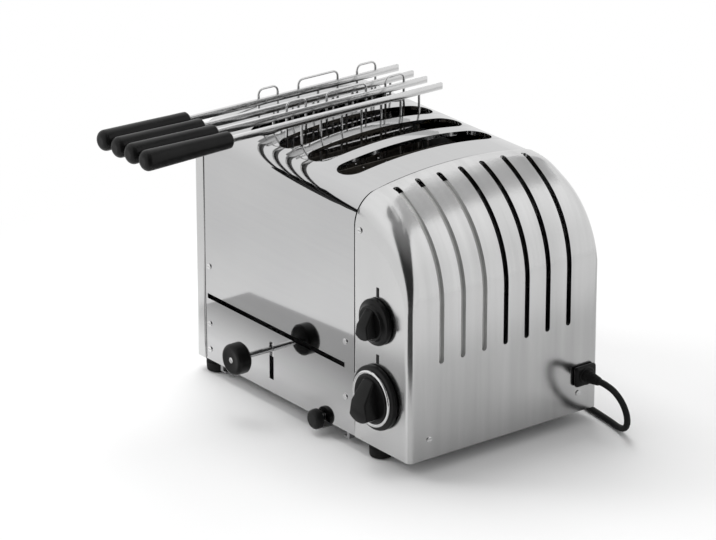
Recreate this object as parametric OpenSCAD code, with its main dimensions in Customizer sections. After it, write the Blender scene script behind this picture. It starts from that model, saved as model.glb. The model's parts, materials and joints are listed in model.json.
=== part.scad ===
// Four-slot polished toaster with two sandwich cages, in millimetres.
// +X points to the control end, -Y to the front and +Z up.
// The origin is on the table, under the middle of the casing.

/* [Body] */
// Length of the casing along the row of slots
body_w = 300; // [290:1:330]
// Depth of the casing from front to back
body_d = 202; // [200:1:230]
// Height of the crown above the table
body_h = 235; // [232:1:250]
// Clearance between the casing and the table
foot_h = 13; // [12:0.5:16]
// Radius of the shallow crown
crown_r = 430; // [380:10:600]
// Radius of the front and back shoulders
shoulder_r = 28; // [22:1:34]
// Thickness of the folded sheet
sheet_t = 1.2; // [0.8:0.1:1.6]
// How far the castings stand proud of the sheet
proud = 1; // [0.6:0.1:1.4]

/* [End castings] */
// Length of the control end casting
control_end_len = 73; // [70:1:85]
// Length of the far end casting
far_end_len = 14; // [12:1:20]
// Radius of the control end's long curve
end_curve_r = 92; // [85:1:105]
// Radius of the far end's top edge
far_curve_r = 12; // [8:1:12]
// Radius of the upright corners
end_corner_r = 6; // [5.5:0.5:10]
// Wall of the castings
casting_t = 4; // [3:0.5:5]
// Number of louvres in the control end
louvre_count = 7; // [5:1:8]
// Distance between louvres
louvre_pitch = 22.5; // [18:0.5:24]
// Width of one louvre
louvre_w = 5; // [3:0.5:7]
// Height of the louvres' lower ends
louvre_low = 97; // [85:1:120]
// Distance from the seam to the louvres' upper ends
louvre_margin = 12; // [10:1:25]

/* [Bread slots] */
// Distance between the middles of neighbouring slots
slot_pitch = 40; // [39:0.5:42]
// Width of a slot
slot_w = 26; // [25:0.5:27]
// Length of a slot
slot_len = 158; // [154:1:160]
// How far the row of slots sits off the middle of the shell, towards the far end
slot_offset = 2.5; // [0:0.5:5]
// Diameter of the guard wires
guard_d = 1.6; // [1.2:0.1:2]
// Thickness of a mica sheet
mica_t = 0.8; // [0.5:0.1:1.5]

/* [Front] */
// Top edge of the lower front panel
lower_panel_top = 70; // [68:1:76]
// Height of the slit between the front panels
slit_h = 4.5; // [3:0.5:6]
// Distance of the slit from the control end's seam
slit_margin = 15; // [10:1:25]
// Distance of the lever from the middle of the casing, towards the far end
lever_offset = 40.5; // [36:0.5:44]
// Height of the lever at rest
lever_z = 53; // [52:0.5:54]
// Travel of the lever and of the carriage
lever_travel = 25; // [20:1:26]
// Diameter of the lever's rod
lever_rod_d = 5; // [4:0.5:6]
// Distance from the front panel to the lever's knob
lever_reach = 29; // [24:0.5:36]
// Diameter of the lever's knob
lever_knob_d = 27.5; // [22:0.5:34]
// Thickness of the lever's knob
lever_knob_t = 14; // [10:0.5:16]

/* [Controls] */
// Distance of both shafts from the control end's seam
control_offset = 31; // [30:1:36]
// Height of the timer
timer_z = 59.5; // [58:0.5:62]
// Height of the selector
selector_z = 126.5; // [124:0.5:132]
// Diameter of the timer knob's skirt
timer_skirt_d = 56; // [48:1:58]
// Diameter of the selector knob's skirt
selector_skirt_d = 40; // [36:1:48]
// Diameter of the control shafts
shaft_d = 6; // [5:0.5:8]
// Width of the timer's body
timer_body_w = 46; // [40:1:46]
// Width of the selector's body
selector_body_w = 34; // [30:1:40]
// Depth of the timer's and the selector's bodies
control_body_depth = 34; // [24:1:44]

/* [Carriage] */
// Height of the bread rests at the bottom of their travel
rest_z = 108; // [104:1:110]
// Diameter of the guide rods
guide_rod_d = 5; // [4:0.5:6]
// Thickness of a bread rest's bar
rest_bar_t = 3; // [2:0.5:4]
// Height of a bread rest's bar
rest_bar_h = 10; // [8:1:12]
// Length of each arm of the rocker
rocker_arm = 46; // [44:1:47]
// Thickness of the rocker
rocker_t = 3; // [2:0.5:3.5]
// Diameter of the rocker's pivot
pivot_d = 5; // [4:0.5:6]
// Diameter of the pins in the rocker's ends
link_pin_d = 4; // [3:0.5:4.5]

/* [Cages] */
// Height of the middle of the cage bars above the table
bar_z = 250; // [249:1:262]
// Height of a cage bar
bar_h = 6; // [5:0.5:8]
// Thickness of a cage bar
bar_t = 2.4; // [2:0.1:3]
// Distance between the two bars of a cage
bar_spread = 21; // [20:0.5:21.5]
// Overhang of the bars at the front, up to the handles
bar_front = 39; // [34:1:46]
// How far the bars run past the slots at the back
bar_back = 5; // [2:1:8]
// Length of a handle
handle_len = 88; // [80:1:100]
// Diameter of a handle at its outer end
handle_outer_d = 18; // [16:0.5:18.5]
// Diameter of a handle at its inner end
handle_inner_d = 14.5; // [12:0.5:16]
// Diameter of the cage wires
wire_d = 2.2; // [1.8:0.1:2.4]
// Height of the hoops above the bars
hoop_rise = 9; // [6:1:12]
// Diameter of a cage's hinge pin
hinge_pin_d = 3; // [2.5:0.5:3.5]

/* [Crumb tray] */
// Distance of the tray from the control end's feet
tray_margin = 28.5; // [24:0.5:40]
// Height of the tray's walls
tray_h = 6.9; // [5.5:0.1:7]
// Thickness of the tray's sheet
tray_t = 1; // [0.8:0.1:1.4]
// Diameter of the tray's pull
pull_d = 17.5; // [14:0.5:20]
// Length of the tray's pull
pull_len = 8; // [8:1:14]
// Distance of the pull from the control end's seam
pull_margin = 48; // [36:0.5:50]

/* [Feet] */
// Diameter of a foot
foot_d = 21; // [18:1:22]
// Distance of the feet from the front and back faces
foot_inset = 12.5; // [12:0.5:18]
// Distance of the control end's feet from that end
control_foot_inset = 53; // [40:1:56]
// Distance of the far feet from that end
far_foot_inset = 15; // [15:0.5:16]

/* [Screws] */
// Diameter of the casing screws' heads
screw_d = 5.4; // [4:0.2:7]
// Height of the casing screws' heads
screw_t = 0.9; // [0.6:0.1:1.6]

/* [Cord] */
// Diameter of the cord
cord_d = 5.6; // [5.2:0.1:6]
// Height of the cord gland
gland_z = 46; // [46:0.5:47]
// Distance of the gland from the middle of the casing, towards the back
gland_y = 85; // [84:0.5:85]
// Length of the strain relief
relief_len = 21; // [20:1:24]
// Inner radius of the coil's innermost loop, at the cord's middle
coil_in_r = 24; // [22:1:26]
// Distance between neighbouring loops of the coil
coil_pitch = 7; // [6.8:0.1:7.2]

/* [Hidden] */
$fn = 64;

// Clearances: between fixed pieces, round a turning shaft, beside a moving piece, and past a cut
fit_gap = 0.2;
shaft_gap = 0.05;
move_gap = 0.5;
over = 1;

// Casing
half_w = body_w / 2;
half_d = body_d / 2;
seam_x = half_w - control_end_len;
far_seam_x = far_end_len - half_w;
crown_z = body_h - crown_r;
shoulder_y = half_d - shoulder_r;
shoulder_z = crown_z + sqrt(pow(crown_r - shoulder_r, 2) - pow(shoulder_y, 2));
end_curve_x = half_w - end_curve_r;
end_curve_z = body_h - sqrt(pow(end_curve_r, 2) - pow(seam_x - end_curve_x, 2));
sheet_face = half_d - proud;
sheet_inner = sheet_face - sheet_t;
casting_inner = half_d - casting_t;
lip_len = 5;
lip_t = 2;
lip_inset = proud + sheet_t + fit_gap;

// Inside, from the base upwards and from the panels inwards
base_z = foot_h + 1;
base_top = base_z + sheet_t;
plate_t = 1.2;
linkage_depth = 14.8;
bulk_outer = sheet_inner - linkage_depth;
bulk_inner = bulk_outer - plate_t;
bulk_top = shoulder_z + 4;
bulk_x0 = far_seam_x + 3;
bulk_x1 = seam_x - 3;
slot_count = 4;
slots_mid = (seam_x + far_seam_x) / 2 - slot_offset;
slot_xs = [for (i = [0:slot_count - 1]) slots_mid + ((slot_count - 1) / 2 - i) * slot_pitch];
element_xs = [for (i = [0:slot_count]) slots_mid + (slot_count / 2 - i) * slot_pitch];
element_low = rest_z - 6;
element_top = bulk_top - 3;
ribbon_t = 0.4;
ribbon_h = 3;
ribbon_margin = 10;
ribbon_inset = 8;
bus_t = 1.5;
bus_h = 8;
bus_drop = 14;
bus_step = 20;
bus_past = 4;
guard_off = slot_w / 2 + guard_d;
guard_reach = 60;
guard_count = 6;

// Carriage and lever
frame_t = 2;
frame_back = bulk_outer + 2.5;
frame_front = frame_back + frame_t;
rocker_back = frame_front + 1.5;
rocker_front = rocker_back + rocker_t;
slider_back = rocker_front + 1;
slider_front = sheet_inner - move_gap;
slider_w = 10;
slider_h = 16;
lever_x = -lever_offset;
pivot_x = lever_x + rocker_arm;
pivot_z = lever_z - lever_travel / 2;
link_x = pivot_x + rocker_arm;
link_z = lever_z - lever_travel;
rocker_tilt = atan(lever_travel / 2 / rocker_arm);
link_slot_d = link_pin_d + 2 * move_gap;
lever_slot_w = lever_rod_d + 2 * move_gap;
guide_y = (frame_back + frame_front) / 2;
guide_xs = [bulk_x0 + 11, bulk_x1 - 8];
guide_top = rest_z + lever_travel + 44;
bush_w = 10;
frame_top = rest_z - 1;
frame_h = 11;
rest_reach = 60;
rest_half_w = 12;
slot_spare = 3;

// Controls
control_x = seam_x + control_offset;
skirt_t = 5.5;
dial_t = 2.5;
mark_w = 3.2;
mark_h = 8;
knob_base = 0.5;

// Cages: the near cage is in the third slot, the far cage in the last
cage_slots = [2, 3];
grid_low = rest_z + 0.3;
wire_ys = [-66, -46, -24, -3, 18, 39, 59];
hoop_pairs = [[0, 1], [2, 4], [5, 6]];
cross_zs = [rest_z + 32, rest_z + 67, rest_z + 102];
hinge_y = (slot_len - slot_w) / 2 + 3;
bar_y0 = -(half_d + bar_front);
bar_y1 = slot_len / 2 + bar_back;
tang_len = 20;
knuckle_h = 6;
knuckle_d = hinge_pin_d + 3;
knuckle_drop = 8;
knuckle_shift = 4;

// Crumb tray, between the base and the table
control_foot_x = half_w - control_foot_inset;
far_foot_x = far_foot_inset - half_w;
runner_t = 3.4;
runner_gap = 2.6;
tray_z = foot_h - 0.6 - tray_h;
tray_x0 = far_foot_x + foot_d / 2 + runner_gap + runner_t + move_gap;
tray_x1 = control_foot_x - foot_d / 2 - tray_margin;
tray_front = bulk_outer - 2;
tray_back = half_d - 9;
tab_back = sheet_face + 0.6;
pull_x = seam_x - pull_margin;
pull_z = foot_h + 0.5;

// Cord route from the strain relief to the coil, chosen by hand
cord_route = [
    [171, 85, 46], [178, 85, 46], [188.5, 86, 43], [196.5, 88, 35.5], [199.5, 91, 24.5],
    [196.5, 94.5, 13.5], [188.5, 98, 6], [178, 101, 3], [165, 103.5, 2.8], [145, 106.5, 2.8],
    [120, 110, 2.8], [95, 113.5, 2.8], [70, 117, 2.8], [45, 121, 2.8], [20, 125.5, 2.8],
    [0, 128.3, 3.2], [-15, 129, 3.8], [-29.4, 129, 3.8]
];
cord_sides = 10;
cord_steps = 2;
coil_sides = 6;
coil_rings = 24;
coil_turns = 2.75;
coil_climb = 0.5;
coil_out_r = coil_in_r + coil_pitch * coil_turns;
coil_start = cord_route[len(cord_route) - 1];
coil_mid = [coil_start.x - cord_d, coil_start.y + coil_out_r];
coil_layer = coil_pitch;
plug_lead = 20;
plug_x = coil_mid.x - plug_lead;
plug_z = coil_start.z + coil_layer;
plug_relief_len = 24;
plug_w = 44;
plug_t = 2 * plug_z - 3;

// Vectors and swept tubes
function unit(v) = v / norm(v);
function ring(c, along, across, r, n) =
    let (s = unit(cross(along, across)), u = cross(s, along))
    [for (k = [0:n - 1]) c + r * (cos(360 * k / n) * s + sin(360 * k / n) * u)];
function heading(p, i) = unit(p[min(i + 1, len(p) - 1)] - p[max(i - 1, 0)]);
function curve_point(p, i, f) =
    let (a = p[max(i - 1, 0)], b = p[i], c = p[i + 1], d = p[min(i + 2, len(p) - 1)])
    0.5 * (2 * b + (c - a) * f + (2 * a - 5 * b + 4 * c - d) * f * f + (3 * b - a - 3 * c + d) * f * f * f);
function curve(p, n) = concat(
    [for (i = [0:len(p) - 2], k = [0:n - 1]) curve_point(p, i, k / n)], [p[len(p) - 1]]);

module swept_tube(path, r, n, across) {
    last = len(path) - 1;
    points = [for (i = [0:last], q = ring(path[i], heading(path, i), across, r, n)) q];
    sides = [for (i = [0:last - 1], k = [0:n - 1], f = [0, 1])
        let (a = i * n + k, b = i * n + (k + 1) % n)
        f == 0 ? [a, b, b + n] : [a, b + n, a + n]];
    start_cap = [for (k = [1:n - 2]) [0, k + 1, k]];
    end_cap = [for (k = [1:n - 2]) [last * n, last * n + k, last * n + k + 1]];
    polyhedron(points, concat(sides, start_cap, end_cap));
}

// The coil spirals in on the lower layer, climbs in half a turn and spirals out on the upper layer
coil_total = 2 * coil_turns + coil_climb;
function coil_radius(t) = coil_in_r + coil_pitch * max(0, coil_turns - t, t - coil_turns - coil_climb);
function coil_lift(t) =
    let (f = min(1, max(0, (t - coil_turns) / coil_climb))) coil_layer * f * f * (3 - 2 * f);
function coil_point(t) =
    let (r = coil_radius(t), a = -90 - 360 * t)
    [coil_mid.x + r * cos(a), coil_mid.y + r * sin(a), coil_start.z + coil_lift(t)];
coil_count = round(coil_total * coil_rings);
coil_loops = [for (i = [0:coil_count]) coil_point(i / coil_rings)];
coil_path = concat([coil_start, coil_start - [cord_d / 2, 0, 0]], coil_loops,
    [[plug_x + cord_d / 2, coil_start.y, plug_z], [plug_x, coil_start.y, plug_z]]);
coil_gap = min([for (i = [0:coil_count], j = [i + coil_rings / 2:coil_count])
    norm(coil_loops[i] - coil_loops[j])]) - cord_d;
echo(least_gap_between_coil_loops = coil_gap);

// Extrusions along the long axis and from front to back
module along_x(x0, x1) {
    translate([x0, 0, 0]) rotate([90, 0, 90]) linear_extrude(x1 - x0) children();
}
module along_y(y0, y1) {
    translate([0, y1, 0]) rotate([90, 0, 0]) linear_extrude(y1 - y0) children();
}
module face_front(x, y, z) {
    translate([x, y, z]) rotate([90, 0, 0]) children();
}
module box(x0, x1, y0, y1, z0, z1) {
    translate([x0, y0, z0]) cube([x1 - x0, y1 - y0, z1 - z0]);
}
module rod_x(x0, x1, y, z, d) {
    translate([x0, y, z]) rotate([0, 90, 0]) cylinder(d = d, h = x1 - x0);
}
module rod_y(x, y0, y1, z, d) {
    translate([x, y0, z]) rotate([-90, 0, 0]) cylinder(d = d, h = y1 - y0);
}
module rod_z(x, y, z0, z1, d) {
    translate([x, y, z0]) cylinder(d = d, h = z1 - z0);
}

// Button with a rounded front edge, its back on the ground
module button(d, t, edge) {
    rotate_extrude() {
        square([d / 2 - edge, t]);
        square([d / 2, t - edge]);
        translate([d / 2 - edge, t - edge]) intersection() {
            circle(edge);
            square(edge);
        }
    }
}

// Outline with rounded corners
module rounded(w, h, r) {
    square([w - 2 * r, h], center = true);
    square([w, h - 2 * r], center = true);
    for (sx = [-1, 1], sy = [-1, 1]) translate([sx * (w / 2 - r), sy * (h / 2 - r)]) circle(r);
}

// Outline of the casing across the slots: upright sides, round shoulders and a shallow crown
module arch(inset, low) {
    crown_y = shoulder_y * (crown_r - inset) / (crown_r - shoulder_r);
    translate([-(half_d - inset), low]) square([2 * (half_d - inset), shoulder_z - low]);
    for (s = [-1, 1]) translate([s * shoulder_y, shoulder_z]) circle(shoulder_r - inset);
    intersection() {
        translate([0, crown_z]) circle(crown_r - inset, $fn = 360);
        translate([-crown_y, low]) square([2 * crown_y, body_h - low]);
    }
}

// Outline of an end from the front: an upright face that rolls over into the crown
module end_side(inset, low, seam, roll_r, roll_z) {
    roll_x = half_w - roll_r;
    translate([seam, low]) square([half_w - inset - seam, roll_z - low]);
    intersection() {
        translate([roll_x, roll_z]) circle(roll_r - inset, $fn = 128);
        translate([seam, low]) square([half_w - seam, 2 * body_h]);
    }
    if (roll_x > seam) translate([seam, low]) square([roll_x - seam, roll_z + roll_r - inset - low]);
}

// Outline of an end from above
module end_plan(inset, seam) {
    mid = half_w - end_corner_r;
    translate([seam, -(half_d - inset)]) square([mid - seam, 2 * (half_d - inset)]);
    translate([seam, -(half_d - end_corner_r)]) square([half_w - inset - seam, 2 * (half_d - end_corner_r)]);
    for (s = [-1, 1]) translate([mid, s * (half_d - end_corner_r)]) circle(end_corner_r - inset);
}

module end_form(inset, low, seam, roll_r, roll_z) {
    intersection() {
        along_x(seam, half_w) arch(inset, low);
        along_y(-half_d, half_d) end_side(inset, low, seam, roll_r, roll_z);
        translate([0, 0, low]) linear_extrude(body_h - low) end_plan(inset, seam);
    }
}

// Hollow casting with a lip that the sheet laps over
module end_casting(seam, roll_r, roll_z) {
    difference() {
        end_form(0, foot_h, seam, roll_r, roll_z);
        end_form(casting_t, foot_h - over, seam - over, roll_r, roll_z);
    }
    difference() {
        along_x(seam - lip_len, seam + lip_t) arch(lip_inset, foot_h);
        along_x(seam - lip_len - over, seam + lip_t + over) arch(lip_inset + lip_t, foot_h - over);
    }
}

module shell() {
    color("silver") difference() {
        along_x(far_seam_x, seam_x) difference() {
            arch(proud, foot_h);
            arch(proud + sheet_t, foot_h - over);
        }
        box(far_seam_x - over, seam_x + over, -half_d, 0, foot_h - over, lower_panel_top);
        box(far_seam_x + 3, seam_x - slit_margin, -half_d, 0, foot_h, lower_panel_top + slit_h);
        for (x = slot_xs) translate([x, 0, shoulder_z]) linear_extrude(body_h) bread_slot();
    }
}

module bread_slot() {
    square([slot_w, slot_len - slot_w], center = true);
    for (s = [-1, 1]) translate([0, s * (slot_len - slot_w) / 2]) circle(d = slot_w);
}

module control_casting() {
    color("gainsboro") difference() {
        end_casting(seam_x, end_curve_r, end_curve_z);
        for (i = [0:louvre_count - 1]) louvre((i - (louvre_count - 1) / 2) * louvre_pitch);
        for (z = [timer_z, selector_z])
            rod_y(control_x, -half_d - over, -casting_inner + over, z, shaft_d + 1);
        rod_x(half_w - casting_t - over, half_w + over, gland_y, gland_z, cord_d + 1);
    }
}

// One long opening from the end face up into the crown
module louvre(y) {
    top_x = seam_x + louvre_margin;
    box(top_x, half_w + over, y - louvre_w / 2, y + louvre_w / 2, louvre_low, body_h + over);
    rod_x(half_w - end_curve_r / 2, half_w + over, y, louvre_low, louvre_w);
    rod_z(top_x, y, shoulder_z, body_h + over, louvre_w);
}

module far_casting() {
    color("gainsboro") mirror([1, 0, 0]) end_casting(-far_seam_x, far_curve_r, body_h - far_curve_r);
}

module front_lower_panel() {
    slot_low = link_z - lever_rod_d / 2 - move_gap;
    color("silver") difference() {
        box(far_seam_x, seam_x, -sheet_face, -sheet_inner, foot_h, lower_panel_top);
        box(lever_x - lever_slot_w / 2, lever_x + lever_slot_w / 2, -half_d, -sheet_inner + over,
            slot_low, slot_low + lever_travel + lever_slot_w + slot_spare);
    }
}

module base_plate() {
    window_x = [tray_x0 + 8, tray_x1 - 8];
    corner = end_corner_r - casting_t;
    color("gray") translate([0, 0, base_z]) linear_extrude(sheet_t) difference() {
        rounded(body_w - 2 * (casting_t + fit_gap), body_d - 2 * (lip_inset + lip_t + fit_gap), corner);
        translate([(window_x[0] + window_x[1]) / 2, 0])
            rounded(window_x[1] - window_x[0], slot_len - 8, corner);
    }
}

// Two angles under the base that carry the tray
module tray_runners() {
    reach = half_d - 6;
    near = (tray_x1 - tray_x0) / 2 + move_gap;
    color("gray") translate([(tray_x0 + tray_x1) / 2, 0, 0]) for (s = [0, 1]) mirror([s, 0, 0]) {
        box(near, near + runner_t, -reach, reach, tray_z - 1.5, base_z);
        box(near - 4, near + runner_t, -reach, reach, tray_z - 1.5, tray_z - 0.3);
    }
}

module feet() {
    y = half_d - foot_inset;
    color("black") for (x = [control_foot_x, far_foot_x], s = [-1, 1]) {
        translate([x, s * y, foot_h]) mirror([0, 0, 1]) button(foot_d, foot_h, 2);
        rod_z(x, s * y, foot_h - over, base_z, foot_d / 3);
    }
}

// Upright plate across the ends of the slots
module bulkhead_plate(y0, y1) {
    difference() {
        box(bulk_x0, bulk_x1, y0, y1, base_top, bulk_top);
        for (x = slot_xs) box(x - rest_bar_t / 2 - 1.5, x + rest_bar_t / 2 + 1.5, y0 - over, y1 + over,
            rest_z - 2 - rest_bar_h - 1.5, rest_z + lever_travel);
    }
}

module front_bulkhead() {
    color("dimgray") difference() {
        union() {
            bulkhead_plate(-bulk_outer, -bulk_inner);
            for (x = guide_xs) box(x - bush_w / 2, x + bush_w / 2, -guide_y - bush_w / 2,
                -bulk_inner - plate_t / 2, guide_top - 6, guide_top);
        }
        for (x = guide_xs)
            rod_z(x, -guide_y, guide_top - 6 - over, guide_top + over, guide_rod_d + 2 * shaft_gap);
    }
}

module rear_bulkhead() {
    color("dimgray") bulkhead_plate(bulk_inner, bulk_outer);
}

module heat_shields() {
    reach = half_d - 6;
    color("gray") for (x = [bulk_x0 - 1, bulk_x1]) box(x, x + 1, -reach, reach, base_top, shoulder_z);
}

module element_sheets() {
    color("tan") for (x = element_xs)
        box(x - mica_t / 2, x + mica_t / 2, -bulk_inner, bulk_inner, element_low, element_top);
}

// Flat ribbons wound round each sheet, as level strips on both faces
module element_ribbons() {
    rows = 6;
    color("darkgray") for (x = element_xs, s = [-1, 1], k = [0:rows - 1]) {
        z = element_low + ribbon_margin
            + k * (element_top - element_low - 2 * ribbon_margin - ribbon_h) / (rows - 1);
        face = x + s * (mica_t + ribbon_t) / 2;
        box(face - ribbon_t / 2, face + ribbon_t / 2, -bulk_inner + ribbon_inset, bulk_inner - ribbon_inset,
            z, z + ribbon_h);
    }
}

module bus_bars() {
    color("goldenrod") for (z = [element_top - bus_drop, element_top - bus_drop - bus_step])
        box(element_xs[slot_count] - bus_past, element_xs[0] + bus_past, bulk_outer, bulk_outer + bus_t,
            z, z + bus_h);
}

module guard_wires() {
    color("silver") for (x = slot_xs, s = [-1, 1]) guard(x + s * guard_off, s);
}

module guard(x, s) {
    half = guard_d / 2;
    for (z = [element_low + 4, bulk_top - 8])
        box(x - half, x + half, -bulk_inner, bulk_inner, z, z + guard_d);
    for (k = [0:guard_count - 1])
        rod_z(x, guard_reach * (2 * k / (guard_count - 1) - 1), element_low, bulk_top - 3, guard_d * 0.9);
}

module guide_rods() {
    color("silver") for (x = guide_xs) rod_z(x, -guide_y, base_top, guide_top + 2, guide_rod_d);
}

module carriage_frame() {
    color("lightgray") difference() {
        union() {
            box(guide_xs[0], guide_xs[1], -frame_front, -frame_back, frame_top - frame_h, frame_top);
            box(link_x - 6, link_x + 6, -frame_front, -frame_back, link_z - 6, frame_top - frame_h / 2);
            rod_y(link_x, -rocker_front - 0.5, -frame_back, link_z, link_pin_d);
            for (x = guide_xs) box(x - bush_w / 2, x + bush_w / 2, -guide_y - bush_w / 2 + 1.5,
                -bulk_outer - 1, frame_top - frame_h - 3, frame_top + 3);
        }
        for (x = guide_xs) rod_z(x, -guide_y, base_top, guide_top, guide_rod_d + 2 * shaft_gap);
    }
}

module bread_rests() {
    cross_d = 2.5;
    color("lightgray") for (x = slot_xs) {
        box(x - rest_bar_t / 2, x + rest_bar_t / 2, -frame_back, frame_back,
            rest_z - 2 - rest_bar_h, rest_z - 2);
        for (k = [-1:0.5:1])
            rod_x(x - rest_half_w, x + rest_half_w, k * rest_reach, rest_z - cross_d / 2, cross_d);
    }
}

module carriage_rear_bar() {
    color("lightgray") box(slot_xs[slot_count - 1] - 6, slot_xs[0] + 6, frame_back, frame_front,
        rest_z - 2 - rest_bar_h, rest_z - 2);
}

// Flat beam that turns the lever's push down into the carriage's lift
module rocker() {
    reach = rocker_arm / cos(rocker_tilt);
    color("gray") face_front(pivot_x, -rocker_back, pivot_z) rotate([0, 0, -rocker_tilt])
        linear_extrude(rocker_t) difference() {
            union() {
                square([2 * reach, link_slot_d + 5], center = true);
                for (s = [-1, 1]) translate([s * reach, 0]) circle(d = link_slot_d + 5);
                circle(d = pivot_d + 8);
            }
            circle(d = pivot_d + 2 * shaft_gap);
            for (s = [-1, 1]) {
                translate([s * (reach + rocker_arm - 1) / 2, 0])
                    square([reach - rocker_arm + 1, link_slot_d], center = true);
                translate([s * (rocker_arm - 1), 0]) circle(d = link_slot_d);
                translate([s * reach, 0]) circle(d = link_slot_d);
            }
        }
}

module rocker_pivot() {
    color("silver") {
        rod_y(pivot_x, -rocker_front - 0.3, -bulk_outer, pivot_z, pivot_d);
        rod_y(pivot_x, -rocker_back + 0.3, -bulk_outer, pivot_z, pivot_d + 3);
        rod_y(pivot_x, -rocker_front - 1.3, -rocker_front - 0.3, pivot_z, pivot_d + 3);
    }
}

module lever_rod() {
    color("silver") {
        box(lever_x - slider_w / 2, lever_x + slider_w / 2, -slider_front, -slider_back,
            lever_z - slider_h / 2, lever_z + slider_h / 2);
        rod_y(lever_x, -sheet_face - lever_reach - 5, -slider_front + over, lever_z, lever_rod_d);
        rod_y(lever_x, -slider_back - over, -rocker_back + 0.5, lever_z, link_pin_d);
    }
}

module lever_knob() {
    back = sheet_face + lever_reach;
    color("black") difference() {
        face_front(lever_x, -back, lever_z) button(lever_knob_d, lever_knob_t, 3);
        rod_y(lever_x, -back - 5.2, -back + over, lever_z, lever_rod_d + 2 * shaft_gap);
    }
}

// Two rails behind the lower panel that keep the slider upright
module lever_guide() {
    rail = 4;
    near = slider_w / 2 + move_gap;
    color("gray") for (x = [lever_x - near - rail, lever_x + near])
        box(x, x + rail, -sheet_inner, -slider_back + 0.5, base_top, lower_panel_top - 2);
}

module control_body(z, w) {
    color("ivory") difference() {
        box(control_x - w / 2, control_x + w / 2, -casting_inner, -casting_inner + control_body_depth,
            z - w / 2, z + w / 2);
        rod_y(control_x, -casting_inner - over, -casting_inner + control_body_depth - 4, z,
            shaft_d + 2 * shaft_gap);
    }
}
module timer_body() { control_body(timer_z, timer_body_w); }
module selector_body() { control_body(selector_z, selector_body_w); }

module control_shaft(z) {
    color("silver") rod_y(control_x, -half_d - skirt_t, -casting_inner + control_body_depth - 5, z, shaft_d);
}
module timer_shaft() { control_shaft(timer_z); }
module selector_shaft() { control_shaft(selector_z); }

// Knob with a round skirt, a raised dial and a grip that narrows towards its pointer
module control_knob(z, d) {
    dial_d = d * 0.76;
    grip_r = d * 0.32;
    grip_t = d * 0.22;
    low = skirt_t + dial_t;
    color("black") face_front(control_x, -half_d - knob_base, z) difference() {
        union() {
            button(d, skirt_t, 1.5);
            cylinder(d = dial_d, h = skirt_t + dial_t);
            intersection() {
                linear_extrude(low + grip_t) intersection() {
                    circle(grip_r);
                    polygon([[-d * 0.21, -d / 2], [d * 0.21, -d / 2], [d * 0.12, d / 2], [-d * 0.12, d / 2]]);
                }
                along_x(-d, d) polygon([[-d, 0], [d, 0], [d, low], [grip_r, low + grip_t * 0.2],
                    [0, low + grip_t], [-d, low + grip_t]]);
            }
        }
        translate([0, 0, -over]) cylinder(d = shaft_d + 2 * shaft_gap, h = skirt_t + over);
    }
}
module timer_knob() { control_knob(timer_z, timer_skirt_d); }
module selector_knob() { control_knob(selector_z, selector_skirt_d); }

module timer_ring() {
    inner = timer_skirt_d * 0.76 + 2 * shaft_gap;
    ring_w = 3;
    color("white") face_front(control_x, -half_d - knob_base - skirt_t, timer_z) difference() {
        cylinder(d = inner + ring_w * 2, h = dial_t - 0.5);
        translate([0, 0, -over]) cylinder(d = inner, h = dial_t + over);
    }
}

module index_marks() {
    color("black") for (k = [[timer_z, timer_skirt_d], [selector_z, selector_skirt_d]])
        box(control_x - mark_w / 2, control_x + mark_w / 2, -half_d - 0.3, -half_d,
            k[0] + k[1] / 2 + 1.5, k[0] + k[1] / 2 + 1.5 + mark_h);
}

// Round slotted heads on the front panels, the control strip and the end face
module casing_screws() {
    far_x = far_seam_x + far_end_len * 0.43;
    near_x = seam_x - slit_margin * 0.93;
    front = [[far_x, lower_panel_top * 1.43], [far_x, lower_panel_top * 0.67],
        [far_x, lower_panel_top * 0.33], [near_x, lower_panel_top * 1.34], [near_x, lower_panel_top * 0.63]];
    color("lightgray") {
        for (p = front) face_front(p.x, -sheet_face, p.y) screw_head();
        face_front(seam_x + 7, -half_d, shoulder_z - 1.5) screw_head();
        for (s = [-1, 1])
            translate([half_w, s * half_d * 0.79, foot_h * 2.3]) rotate([90, 0, 90]) screw_head();
    }
}

module screw_head() {
    difference() {
        button(screw_d, screw_t, screw_t * 0.4);
        translate([0, 0, screw_t]) cube([screw_d, screw_d / 6, screw_t], center = true);
    }
}

module crumb_tray() {
    tab = pull_d * 0.28;
    color("lightgray") {
        difference() {
            box(tray_x0, tray_x1, -tray_front - tray_t, tray_back, tray_z, tray_z + tray_h);
            box(tray_x0 + tray_t, tray_x1 - tray_t, -tray_front, tray_back - tray_t, tray_z + tray_t, base_z);
        }
        box(pull_x - tab, pull_x + tab, -tab_back - tray_t, -tray_front, tray_z, tray_z + tray_t);
        box(pull_x - tab, pull_x + tab, -tab_back - tray_t, -tab_back, tray_z, pull_z + tab);
    }
}

module tray_pull() {
    color("black") face_front(pull_x, -tab_back - tray_t, pull_z) button(pull_d, pull_len, 3);
}

// One half of a cage: a flat bar, upright wires with hoops on the far half, and level wires
module cage_grid(slot, s) {
    mid = slot_xs[slot];
    x = mid + s * bar_spread / 2;
    top = s < 0 ? bar_z + bar_h / 2 + hoop_rise : bar_z;
    thin = wire_d * 0.85;
    low = grid_low + thin / 2;
    side = x + s * 0.2;
    color("lightgray") {
        box(x - bar_t / 2, x + bar_t / 2, bar_y0 - tang_len, bar_y1, bar_z - bar_h / 2, bar_z + bar_h / 2);
        for (k = [0:len(wire_ys) - 1]) {
            hooped = s < 0 && k != 3;
            rod_z(x, wire_ys[k], low, hooped ? top - thin / 2 : bar_z, wire_d);
        }
        if (s < 0) for (h = hoop_pairs)
            rod_y(x, wire_ys[h[0]] - 0.8, wire_ys[h[1]] + 0.8, top - thin / 2, thin);
        for (z = concat([low], cross_zs)) rod_y(side, wire_ys[0] - 4, hinge_y, z, thin);
        rod_z(side, hinge_y, low, cross_zs[2] + 1, wire_d * 0.95);
    }
}
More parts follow.
